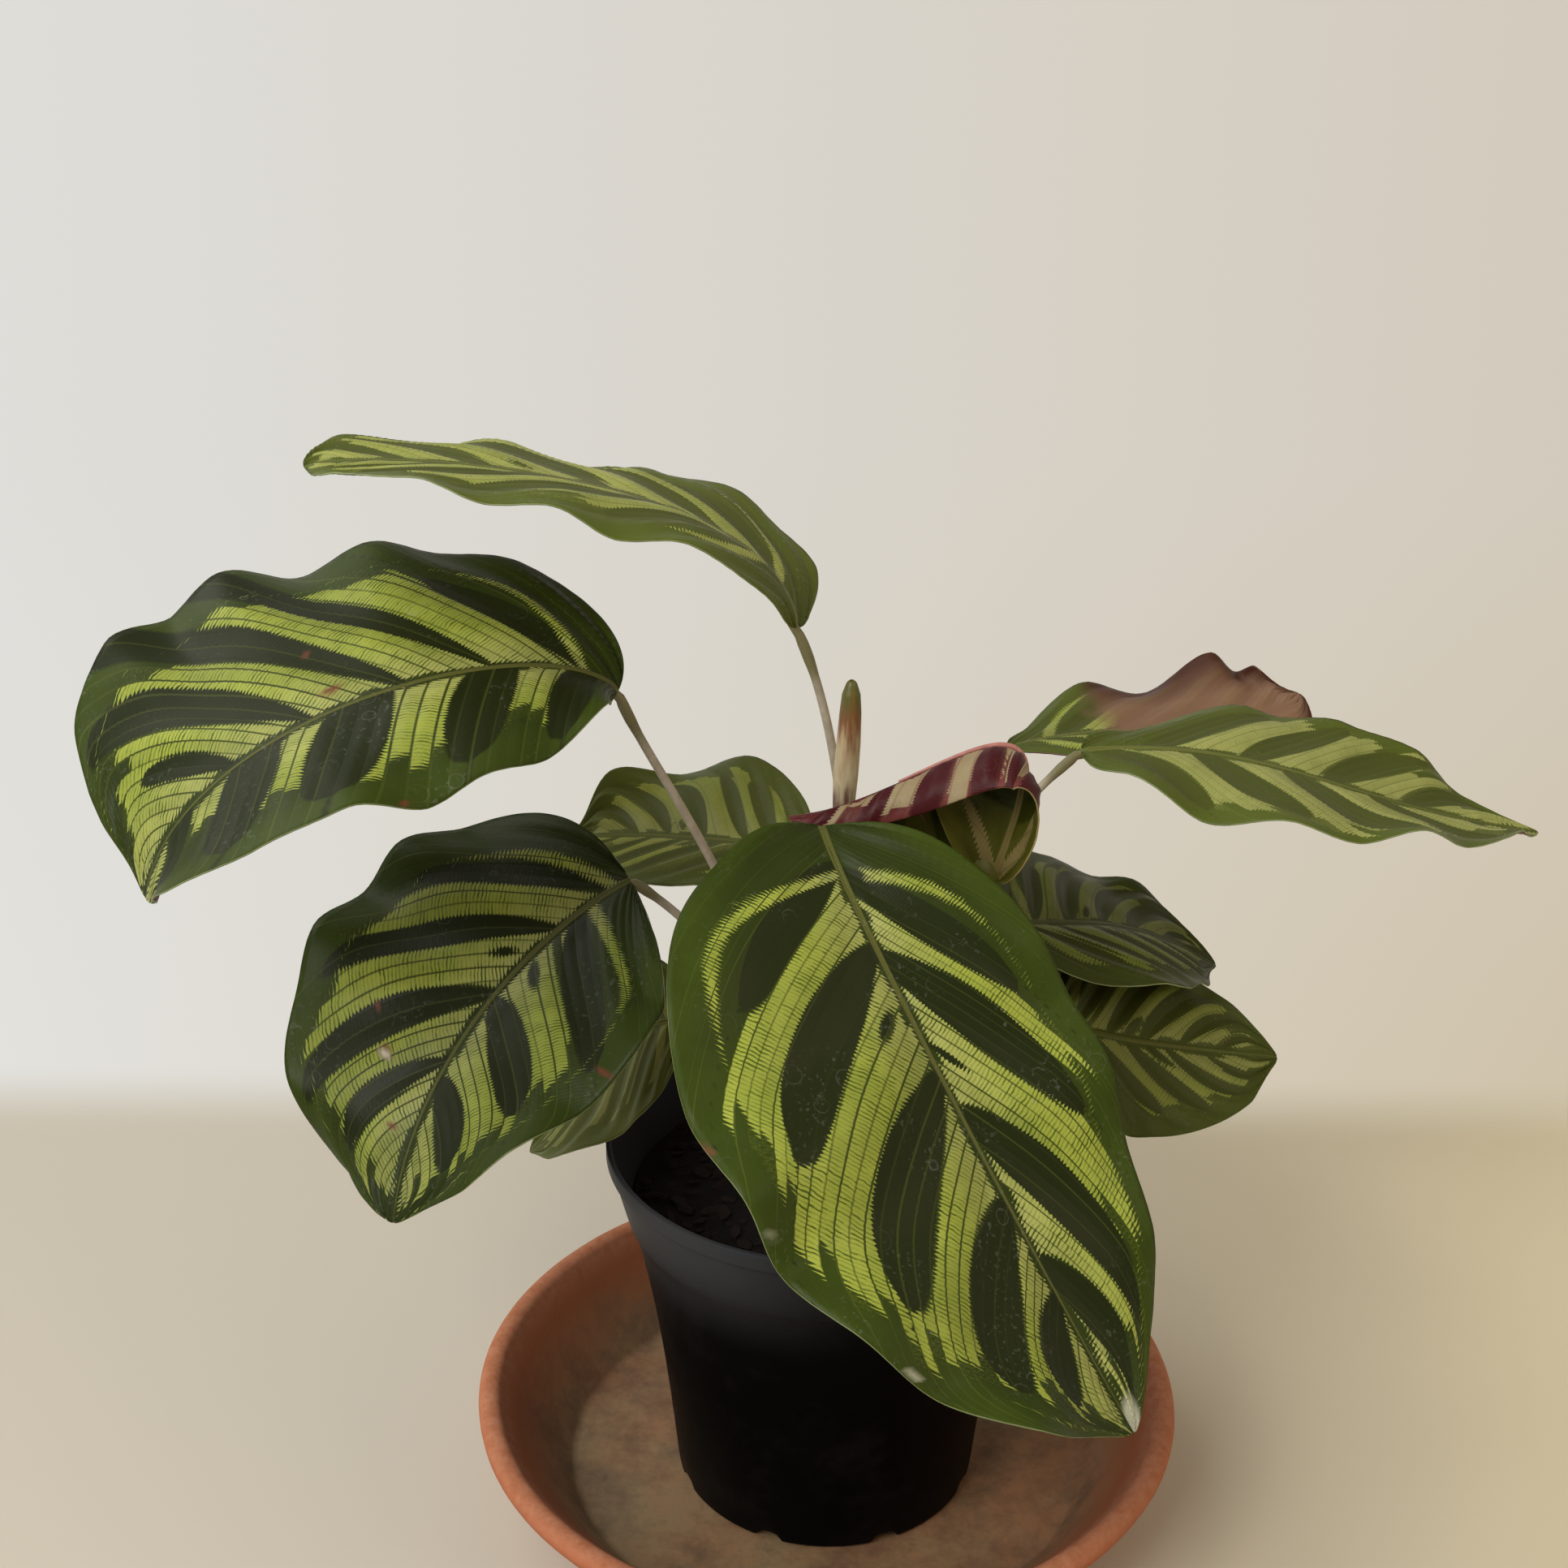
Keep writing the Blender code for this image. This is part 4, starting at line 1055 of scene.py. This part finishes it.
POT_BASE_RADIUS = 37.5
POT_FLARE = 0.45
POT_WALL = 1.4
POT_FLOOR_RISE = 4.0
FOOT_RING_WIDTH = 5.0
COLLAR_HEIGHT = 19.0
COLLAR_STEP = 0.9
LIP_HEIGHT = 4.0
LIP_STEP = 1.0
LIP_ROUND = 0.45
DRAIN_COUNT = 8
DRAIN_WIDTH = 6.6
DRAIN_HEIGHT = 2.6
DUST_CLOUD = 25.0

# The flow lines from moulding run round the pot, about 1 mm apart and 17 mm long.
FLOW_SCALE = (60.0, 60.0, 900.0)


def pot_radius(settings, z):
    """The pot's outer radius at a height: a slight taper that flares towards the rim."""
    up = (z - settings.base / MM) / ((settings.top - settings.base) / MM)
    widen = settings.top_radius / MM - POT_BASE_RADIUS
    return POT_BASE_RADIUS + widen * ((1 - POT_FLARE) * up + POT_FLARE * up ** 3)


def pot_profile(settings):
    """The pot's outline from the middle of its inner floor, over the lip, to the middle beneath."""
    base, top, radius = settings.base / MM, settings.top / MM, settings.top_radius / MM
    floor = base + POT_FLOOR_RISE
    collar = top - COLLAR_HEIGHT
    heights = [base + 3 + (collar - base - 3) * index / 14 for index in range(14)]
    collar_radius = pot_radius(settings, collar)
    profile = [(0, floor + POT_WALL), (20, floor + POT_WALL),
               (POT_BASE_RADIUS - FOOT_RING_WIDTH + POT_WALL, floor + POT_WALL)]
    profile += [(pot_radius(settings, z) - POT_WALL, z) for z in heights if z > floor + POT_WALL + 2]
    inside_top = (radius - POT_WALL, top - LIP_ROUND)
    profile += [(collar_radius - POT_WALL, collar)]
    profile += between(profile[-1], inside_top, 6)
    profile += arc(radius - POT_WALL + LIP_ROUND, top - LIP_ROUND, LIP_ROUND, 180, 90, 4)
    profile += arc(radius - LIP_ROUND, top - LIP_ROUND, LIP_ROUND, 90, 0, 4)
    low = top - LIP_HEIGHT
    profile += [(radius, low + 0.4), (radius - 0.15, low), (radius - LIP_STEP, low - LIP_STEP / 2)]
    profile += between(profile[-1], (collar_radius + COLLAR_STEP, collar), 6)
    profile += [(collar_radius + COLLAR_STEP, collar + 0.3), (collar_radius + COLLAR_STEP - 0.15, collar),
                (collar_radius, collar - COLLAR_STEP)]
    profile += [(pot_radius(settings, z), z) for z in reversed(heights)]
    profile += arc(POT_BASE_RADIUS - 1, base + 1, 1, 0, -90, 4)
    profile += [(POT_BASE_RADIUS - FOOT_RING_WIDTH, base),
                (POT_BASE_RADIUS - FOOT_RING_WIDTH - POT_WALL, floor),
                (0, floor)]
    return profile


def with_drains(settings, co):
    """Lift the foot's lower edge into an arched notch at each drain."""
    height = co.z - settings.base
    if height > DRAIN_HEIGHT * MM or math.hypot(co.x, co.y) < 25 * MM:
        return co
    turn = math.atan2(co.y, co.x) / (2 * math.pi) * DRAIN_COUNT - 0.5
    away = abs(turn - round(turn)) / DRAIN_COUNT * 2 * math.pi * POT_BASE_RADIUS
    arch = max(0.0, 1 - (away / (DRAIN_WIDTH / 2)) ** 4)
    return Vector((co.x, co.y, co.z + (DRAIN_HEIGHT * MM - height) * arch * 0.98))


def plastic_material(settings):
    """Black polypropylene, moulded: a soft sheen, and a film of dust on the shoulder by the window."""
    material, add = new_material("black_polypropylene_moulded")
    place = add("TexCoord", out="Object")
    parts = add("SeparateXYZ", (place,)).node.outputs
    stretched = add("Mapping", {"Vector": place, "Scale": FLOW_SCALE})
    flow = add("TexNoise", {"Vector": stretched, "Scale": 1.0, "Detail": 2.0})
    orange = add("TexNoise", {"Vector": place, "Scale": PIT_SCALE, "Detail": 2.0})
    cloud = add("TexNoise", {"Vector": place, "Scale": 1 / (DUST_CLOUD * MM), "Detail": 5.0,
                             "Roughness": 0.7})
    dusty = add("MapRange", (cloud, 0.5, 0.8, 0.0, 0.03))
    tint = add("Mix", (dusty, rgba(settings.plastic), rgba(linear("#8A8176"))), **TINTS)
    shoulder = add("MapRange", (parts["Z"], 0.066, 0.095, 0.0, 0.26), **SMOOTH)
    left = add("MapRange", (parts["X"], 0.02, -0.035), **SMOOTH)
    film = add("Math", (shoulder, left), operation="MULTIPLY")
    tint = add("Mix", (film, tint, rgba(linear("#6A6C70"))), **TINTS)
    height = add("Math", (flow, 0.5, orange), operation="MULTIPLY_ADD")
    bump = add("Bump", {"Height": height, "Strength": 0.25, "Distance": 0.06 * MM})
    gloss = add("MapRange", (cloud, 0.3, 0.7, 0.40, 0.52))
    shader = add("BsdfPrincipled", {"Base Color": tint, "Roughness": gloss, "IOR": 1.49,
                                    "Specular IOR Level": 0.08, "Specular Tint": rgba(linear("#C4D6F0")),
                                    "Normal": bump})
    add("OutputMaterial", {"Surface": shader})
    return material


def soil_material(name, tint, size):
    """Potting soil: damp peat and bark, matt and nearly black in its hollows."""
    material, add = new_material(name)
    place = add("TexCoord", out="Object")
    lumps = add("TexNoise", {"Vector": place, "Scale": 1 / (size * MM), "Detail": 5.0, "Roughness": 0.7})
    earth = add("Mix", (lumps, scaled(tint, 0.35), scaled(tint, 1.7)), **TINTS)
    bump = add("Bump", {"Height": lumps, "Strength": 0.8, "Distance": 0.8 * MM})
    shader = add("BsdfPrincipled", {"Base Color": earth, "Roughness": 0.9, "Specular IOR Level": 0.25,
                                    "Normal": bump})
    add("OutputMaterial", {"Surface": shader})
    return material


SOIL_SHOULDER_RADIUS = 34.0
SOIL_RINGS = 26

# How high the lumps of soil are, in millimetres, and the scale of that noise: lumps of 6 mm and 2.4 mm.
SOIL_LUMPS = ((1.1, 160.0), (0.7, 420.0))
CRUMB_SIZE = (0.5, 1.9)


def soil_height(radius, co):
    """The soil's lumpy surface: crowned in the middle, with crumbs of two sizes."""
    crown = 1 - min(1.0, radius / (SOIL_SHOULDER_RADIUS * MM)) ** 2
    lumps = sum(size * noise.noise(co * scale) for size, scale in SOIL_LUMPS)
    return SOIL_TOP - SOIL_CROWN * MM * (1 - crown) + (lumps - 0.4) * MM


def build_soil_mesh(pot):
    """The soil that fills the pot: a turned block whose top is raised into lumps."""
    top = SOIL_TOP / MM
    collar = pot.top / MM - COLLAR_HEIGHT
    floor = pot.base / MM + POT_FLOOR_RISE + POT_WALL + 0.3
    inset = POT_WALL + 0.45
    wide = pot_radius(pot, top - SOIL_CROWN) - inset
    profile = [(wide * ring / SOIL_RINGS, top) for ring in range(SOIL_RINGS + 1)]
    profile += [(pot_radius(pot, collar) - inset, collar)]
    profile += [(pot_radius(pot, z) - inset, z) for z in (66.0, 48.0, 30.0)]
    profile += [(POT_BASE_RADIUS - FOOT_RING_WIDTH + POT_WALL - 0.3, floor), (0, floor)]

    def adjust(co):
        if co.z < SOIL_TOP - 0.1 * MM:
            return co
        radius = math.hypot(co.x, co.y)
        edge = 1 - max(0.0, radius / (wide * MM) - 0.9) * 10
        height = soil_height(radius, co)
        low = SOIL_TOP - SOIL_CROWN * MM
        return Vector((co.x, co.y, height * edge + low * (1 - edge)))

    return turned_mesh("soil_fill", profile, adjust)


def crumb_mesh(pot, count):
    """Crumbs of bark and peat scattered over the soil, each a small dented ball."""
    pick = random.Random(11)
    shape = bmesh.new()
    reach = pot_radius(pot, SOIL_TOP / MM) - POT_WALL - 2.5
    for _ in range(count):
        radius = reach * math.sqrt(pick.random()) * MM
        around = pick.uniform(0, 2 * math.pi)
        size = pick.uniform(*CRUMB_SIZE) * MM
        spot = Vector((radius * math.cos(around), radius * math.sin(around), 0))
        made = bmesh.ops.create_icosphere(shape, subdivisions=1, radius=size)["verts"]
        stretch = Matrix.Diagonal((pick.uniform(0.8, 2.4), pick.uniform(0.6, 1.2), pick.uniform(0.3, 0.8)))
        turn = Matrix.Rotation(pick.uniform(0, math.pi), 3, "Z") @ Matrix.Rotation(
            pick.uniform(-0.5, 0.5), 3, "X")
        spot.z = soil_height(radius, Vector((spot.x, spot.y, SOIL_TOP))) + size * 0.1
        for vertex in made:
            dent = 1 + 0.35 * noise.noise(vertex.co * 900.0 + spot * 1000)
            vertex.co = turn @ (stretch @ (vertex.co * dent)) + spot
    return finished_mesh("soil_crumbs", shape)


SPEAR_ROWS = 90
SPEAR_COLUMNS = 72
SPEAR_TURNS = 1.6
SPEAR_INNER = 0.30
SPEAR_BLADE_START = 95.0

# Streaks along the roll, about 1 mm wide and 8 mm long, and its colours from the soil to the tip.
ROLL_SCALE = (900.0, 900.0, 130.0)
SPEAR_COLOURS = ((0.0, "#6E5040"), (0.62, "#5E3834"), (0.80, "#5A2E30"), (0.84, "#6A5040"),
                 (0.88, "#BEB290"), (0.95, "#AE9A76"), (0.995, "#7A4E28"), (1.035, "#56581A"))
SPEAR_RAMP_END = 1.08


def spear_line(heights):
    """The furled leaf's centre line and radius at each height above the soil."""
    table = np.array(SPEAR_STATIONS, float)
    drift = np.interp(heights, table[:, 0], table[:, 1])
    radius = np.interp(heights, table[:, 0], table[:, 2])
    centre = np.column_stack((SPEAR_ROOT[0] + drift, np.full(len(heights), SPEAR_ROOT[1]),
                              SOIL_TOP / MM + heights))
    return centre, radius


def spear_material(name):
    """A furled young leaf: waxy, olive at its tip, tan and cream along the roll, wine at its foot."""
    material, add = new_material(name)
    along = add("Attribute", out="Fac", attribute_name="along")
    stretched = add("Mapping", {"Vector": add("TexCoord", out="Object"), "Scale": ROLL_SCALE})
    streaks = add("TexNoise", {"Vector": stretched, "Scale": 1.0, "Detail": 3.0})
    moved = add("Math", (streaks, 0.12, along), operation="MULTIPLY_ADD")
    stops = [(at / SPEAR_RAMP_END, rgba(linear(tint))) for at, tint in SPEAR_COLOURS]
    body = add("ValToRGB", (add("MapRange", (moved, 0.0, SPEAR_RAMP_END)),), stops=stops)
    dark = add("MapRange", (streaks, 0.4, 0.7, 0.0, 0.25))
    body = add("Mix", (dark, body, rgba(linear("#5A2C30"))), **TINTS)
    bump = add("Bump", {"Height": streaks, "Strength": 0.4, "Distance": 0.2 * MM})
    shader = add("BsdfPrincipled", {"Base Color": body, "Roughness": 0.45, "Normal": bump})
    add("OutputMaterial", {"Surface": shader})
    return material


def plant_settings(context):
    """The plant's settings, or an error if they are missing."""
    settings = getattr(context.scene, "peacock_plant", None)
    if settings is None:
        raise RuntimeError("the plant's settings aren't registered")
    return settings


class PLANT_OT_saucer(Operator):
    """Turn the clay saucer"""
    bl_idname = "plant.saucer"
    bl_label = "Saucer"
    bl_options = {"REGISTER", "UNDO"}

    def execute(self, context):
        """Build it from the settings."""
        settings = plant_settings(context)
        mesh = turned_mesh("saucer_clay", saucer_profile(settings.saucer), hand_pressed)
        add_piece("saucer_clay", mesh, "saucer", (terracotta_material(settings.saucer),))
        return {"FINISHED"}


class PLANT_OT_pot(Operator):
    """Turn the nursery pot and notch its foot"""
    bl_idname = "plant.pot"
    bl_label = "Pot"
    bl_options = {"REGISTER", "UNDO"}

    def execute(self, context):
        """Build it from the settings."""
        settings = plant_settings(context)
        drains = functools.partial(with_drains, settings.pot)
        mesh = turned_mesh("pot_shell", pot_profile(settings.pot), drains)
        add_piece("pot_shell", mesh, "pot", (plastic_material(settings.pot),), crease=30)
        return {"FINISHED"}


class PLANT_OT_soil(Operator):
    """Fill the pot with soil and strew crumbs over it"""
    bl_idname = "plant.soil"
    bl_label = "Soil"
    bl_options = {"REGISTER", "UNDO"}

    def execute(self, context):
        """Build it from the settings."""
        settings = plant_settings(context)
        soil = settings.soil
        add_piece("soil_fill", build_soil_mesh(settings.pot), "soil",
                  (soil_material("potting_soil_damp", soil.earth, 1.6),), crease=80)
        add_piece("soil_crumbs", crumb_mesh(settings.pot, soil.crumbs), "soil",
                  (soil_material("bark_crumbs", soil.bark, 0.9),), crease=30)
        return {"FINISHED"}


def leaf_named(name):
    """The row of the leaf table with that name."""
    return next(leaf for leaf in LEAVES if leaf.name == name)


def leaf_palette(leaf):
    """Colours of a grown leaf's upper face: band, cream, hatch, oval, margin, midrib and spots."""
    return (leaf.lime, leaf.cream, leaf.hatch, leaf.oval, leaf.margin, leaf.midrib, linear("#98A093"))


def under_palette(leaf):
    """The same for its underside."""
    return (leaf.rose, leaf.rose, leaf.wine, leaf.wine, scaled(leaf.wine, 1.3), leaf.stalk,
            linear("#8A7770"))


class PLANT_OT_leaves(Operator):
    """Grow the nine grown leaves"""
    bl_idname = "plant.leaves"
    bl_label = "Grown Leaves"
    bl_options = {"REGISTER", "UNDO"}

    def execute(self, context):
        """Build it from the settings."""
        leaf = plant_settings(context).leaf
        upper = lamina_material("living_leaf_upper", leaf_palette(leaf), 0.40)
        lower = lamina_material("living_leaf_under", under_palette(leaf), 0.50, hatch=0.3, rings=0.1)
        edge = edge_material("living_leaf_margin", linear("#7E8A5A"))
        stalk = stalk_material("living_stalk", linear("#8A7A64"), leaf.stalk, linear("#6E6A44"))
        for row in LEAVES:
            if row.name not in ("leaf_right_far", "leaf_new"):
                build_leaf(leaf, row, (upper, lower, edge), stalk)
        return {"FINISHED"}


class PLANT_OT_old_leaf(Operator):
    """Grow the ageing leaf, whose far part has turned over and is drying"""
    bl_idname = "plant.old_leaf"
    bl_label = "Old Leaf"
    bl_options = {"REGISTER", "UNDO"}

    def execute(self, context):
        """Build it from the settings."""
        leaf = plant_settings(context).leaf
        drying = Wilt(start=0.40, full=0.52, share=0.95, pale="#7C5E4A", dark="#45241C")
        upper = lamina_material("ageing_leaf_upper", leaf_palette(leaf), 0.45, wilt=drying)
        lower = lamina_material("ageing_leaf_under", map(linear, OLD_UNDER), 0.55, hatch=0.3, rings=0.2,
                                soft=0.0)
        edge = edge_material("ageing_leaf_margin", linear("#5E3528"))
        stalk = stalk_material("ageing_stalk", linear("#5C4632"), leaf.stalk, linear("#7A6A4A"))
        build_leaf(leaf, leaf_named("leaf_right_far"), (upper, lower, edge), stalk)
        return {"FINISHED"}


class PLANT_OT_new_leaf(Operator):
    """Grow the young leaf that is unrolling"""
    bl_idname = "plant.new_leaf"
    bl_label = "Young Leaf"
    bl_options = {"REGISTER", "UNDO"}

    def execute(self, context):
        """Build it from the settings."""
        leaf = plant_settings(context).leaf
        upper = lamina_material("young_leaf_upper", map(linear, YOUNG_UPPER), 0.38, hatch=0.2, rings=0.1,
                                soft=0.0)
        lower = lamina_material("young_leaf_under", map(linear, YOUNG_UNDER), 0.42, hatch=0.2, rings=0.1,
                                soft=0.0)
        edge = edge_material("young_leaf_margin", linear("#8E8050"))
        stalk = stalk_material("young_stalk", linear("#6E3A3A"), linear("#A86A60"), linear("#B87A70"))
        build_leaf(leaf, leaf_named("leaf_new"), (upper, lower, edge), stalk)
        return {"FINISHED"}


class PLANT_OT_spear(Operator):
    """Roll the youngest leaf into a spear on its stalk"""
    bl_idname = "plant.spear"
    bl_label = "Spear"
    bl_options = {"REGISTER", "UNDO"}

    def execute(self, context):
        """Build it from the settings."""
        tip = SPEAR_STATIONS[-1][0]
        material = spear_material("furled_leaf")
        heights = np.linspace(-ROOT_DEPTH, SPEAR_BLADE_START + 6, 50)
        centre, radius = spear_line(heights)
        radius = np.minimum(radius, 1.8) * np.clip((SPEAR_BLADE_START + 7.5 - heights) / 6, 0.1, 1)
        mesh = tube_mesh("leaf_spear_stalk", centre, radius, heights / tip)
        add_piece("leaf_spear_stalk", mesh, "leaf_spear", (material,))

        def place(along, across):
            share = (across + 1) / 2
            height = SPEAR_BLADE_START + (tip - SPEAR_BLADE_START) * along
            middle, size = spear_line(height)
            angle = 2 * math.pi * SPEAR_TURNS * share + 0.6 * along + 3.6
            inward = 1 - SPEAR_INNER * (1 - share)
            ring = np.column_stack((np.cos(angle), np.sin(angle), np.zeros(len(angle))))
            lean = 1.5 * share * np.sin(math.pi * along)
            middle[:, 2] -= lean
            return middle + ring * (size * inward)[:, None], {"along": height / tip}

        sheet = bent_grid("leaf_spear_blade", SPEAR_ROWS, SPEAR_COLUMNS, place)
        blade = add_piece("leaf_spear_blade", sheet, "leaf_spear", (material,), crease=70)
        solid = blade.modifiers.new("Thickness", "SOLIDIFY")
        solid.thickness = 0.22 * MM
        solid.offset = 0.0
        return {"FINISHED"}


# The table top, in metres: its radius, where it has faded out at the back and how wide that fade is.
TABLE_RADIUS = 1.5
TABLE_SIDES = 96
TABLE_BACK = 0.205
TABLE_FADE = 0.045


def table_material(settings):
    """A painted table top: matt, and it fades out softly at the back and round its rim."""
    material, add = new_material("painted_table")
    place = add("TexCoord", out="Object")
    parts = add("SeparateXYZ", (place,)).node.outputs
    warm = add("MapRange", (parts["X"], -0.05, 0.30), **SMOOTH)
    tint = add("Mix", (warm, rgba(settings.table), rgba(linear("#DDD2B2"))), **TINTS)
    back = add("MapRange", (parts["Y"], TABLE_BACK - TABLE_FADE, TABLE_BACK, 1.0, 0.0), **SMOOTH)
    radius = add("VectorMath", (place,), out="Value", operation="LENGTH")
    rim = add("MapRange", (radius, 0.5 * TABLE_RADIUS, 0.98 * TABLE_RADIUS, 1.0, 0.0), **SMOOTH)
    alpha = add("Math", (back, rim), operation="MULTIPLY")
    shader = add("BsdfPrincipled", {"Base Color": tint, "Roughness": 0.6, "Specular IOR Level": 0.2,
                                    "Alpha": alpha})
    add("OutputMaterial", {"Surface": shader})
    return material


def build_table(settings):
    """A round table top, just under the saucer."""
    top = bmesh.new()
    bmesh.ops.create_circle(top, cap_ends=True, segments=TABLE_SIDES, radius=TABLE_RADIUS)
    table = add_object("table_top", finished_mesh("table_top", top))
    table.data.materials.append(table_material(settings))


def build_room(settings):
    """The room as soft light from all round: cooler at the window's side, warmer at the other."""
    world = bpy.data.worlds.new("room")
    bpy.context.scene.world = world
    world.use_nodes = True
    world.node_tree.nodes.clear()
    add = functools.partial(node, world.node_tree)
    parts = add("SeparateXYZ", (add("TexCoord", out="Generated"),)).node.outputs
    side = add("MapRange", (parts["X"], -0.35, 0.45))
    high = add("Mix", (side, rgba(settings.wall), rgba(settings.wall_warm)), **TINTS)
    low = add("Mix", (side, scaled(settings.wall, 1.05), rgba(linear("#CABB9C"))), **TINTS)
    tint = add("Mix", (add("MapRange", (parts["Z"], -0.25, -0.50)), high, low), **TINTS)
    overhead = add("MapRange", (parts["Z"], 0.0, 0.35, 1.0, settings.ceiling), **SMOOTH)
    behind = add("MapRange", (parts["Y"], -0.35, 0.1, settings.behind, 1.0), **SMOOTH)
    strength = add("Math", (overhead, behind), operation="MULTIPLY")
    add("OutputWorld", {"Surface": add("Background", (tint, strength))})


# The lights: name, place, size, power as a share of the window's, and colour. They point at the plant.
LIGHTS = (("window", (-0.9, 0.35, 1.15), 1.0, 1.0, "#FFFAF2"),
          ("window_front", (-0.75, -0.95, 1.1), 0.9, 2.75, "#FFFCF6"),
          ("room_side", (0.95, -0.55, 0.9), 0.8, 0.6, "#FFEBCE"))
LIGHT_TARGET = (0.0, 0.0, 0.15)


def add_light(name, place, size, power, tint):
    """A soft square light that points at the plant."""
    lamp = bpy.data.lights.new(name, "AREA")
    lamp.size = size
    lamp.energy = power
    lamp.color = linear(tint)
    item = add_object(name, lamp)
    place = Vector(place)
    turn = (Vector(LIGHT_TARGET) - place).to_track_quat("-Z", "Y")
    item.matrix_world = Matrix.Translation(place) @ turn.to_matrix().to_4x4()


def build_camera():
    """The camera at the photograph's viewing angle."""
    lens = bpy.data.cameras.new("camera")
    lens.sensor_width = SENSOR_WIDTH
    lens.lens = FOCAL_PIXELS * SENSOR_WIDTH / IMAGE_SIZE
    camera = add_object("camera", lens)
    tilt = Matrix.Rotation(math.radians(90 - CAMERA_PITCH), 4, "X")
    roll = Matrix.Rotation(math.radians(CAMERA_ROLL), 4, "Z")
    camera.matrix_world = Matrix.Translation(Vector(CAMERA_PLACE)) @ tilt @ roll
    bpy.context.scene.camera = camera


class PLANT_OT_stage(Operator):
    """Set the table, the room, the window light and the camera"""
    bl_idname = "plant.stage"
    bl_label = "Stage"
    bl_options = {"REGISTER", "UNDO"}

    def execute(self, context):
        """Build it from the settings."""
        stage = plant_settings(context).stage
        build_table(stage)
        build_room(stage)
        for name, place, size, share, tint in LIGHTS:
            add_light(name, place, size, stage.window * share, tint)
        build_camera()
        bpy.context.scene.view_settings.view_transform = "Standard"
        return {"FINISHED"}


class PLANT_PT_panel(Panel):
    """The plant's panel in the sidebar"""
    bl_idname = "PLANT_PT_panel"
    bl_label = "Potted Peacock Plant"
    bl_space_type = "VIEW_3D"
    bl_region_type = "UI"
    bl_category = "Plant"

    def draw(self, context):
        """List the operators, each group of settings below them."""
        for operator in OPERATORS:
            self.layout.operator(operator.bl_idname)
        settings = context.scene.peacock_plant
        for group in ("saucer", "pot", "soil", "leaf", "stage"):
            box = self.layout.box()
            box.label(text=group.capitalize())
            values = getattr(settings, group)
            for name in values.__annotations__:
                box.prop(values, name)


OPERATORS = (PLANT_OT_saucer, PLANT_OT_pot, PLANT_OT_soil, PLANT_OT_leaves, PLANT_OT_old_leaf,
             PLANT_OT_new_leaf, PLANT_OT_spear, PLANT_OT_stage)
CLASSES = (SaucerSettings, PotSettings, SoilSettings, LeafSettings, StageSettings,
           PlantSettings) + OPERATORS + (PLANT_PT_panel,)


def register():
    """Register the classes and hang the settings on the scene."""
    for item in CLASSES:
        bpy.utils.register_class(item)
    bpy.types.Scene.peacock_plant = PointerProperty(type=PlantSettings)


def unregister():
    """Undo what register does."""
    del bpy.types.Scene.peacock_plant
    for item in reversed(CLASSES):
        bpy.utils.unregister_class(item)


def main():
    """Build every piece and the stage, and note both boxes."""
    register()
    bpy.ops.plant.saucer()
    bpy.ops.plant.pot()
    bpy.ops.plant.soil()
    bpy.ops.plant.leaves()
    bpy.ops.plant.old_leaf()
    bpy.ops.plant.new_leaf()
    bpy.ops.plant.spear()
    bpy.ops.plant.stage()


if __name__ == "__main__":
    main()
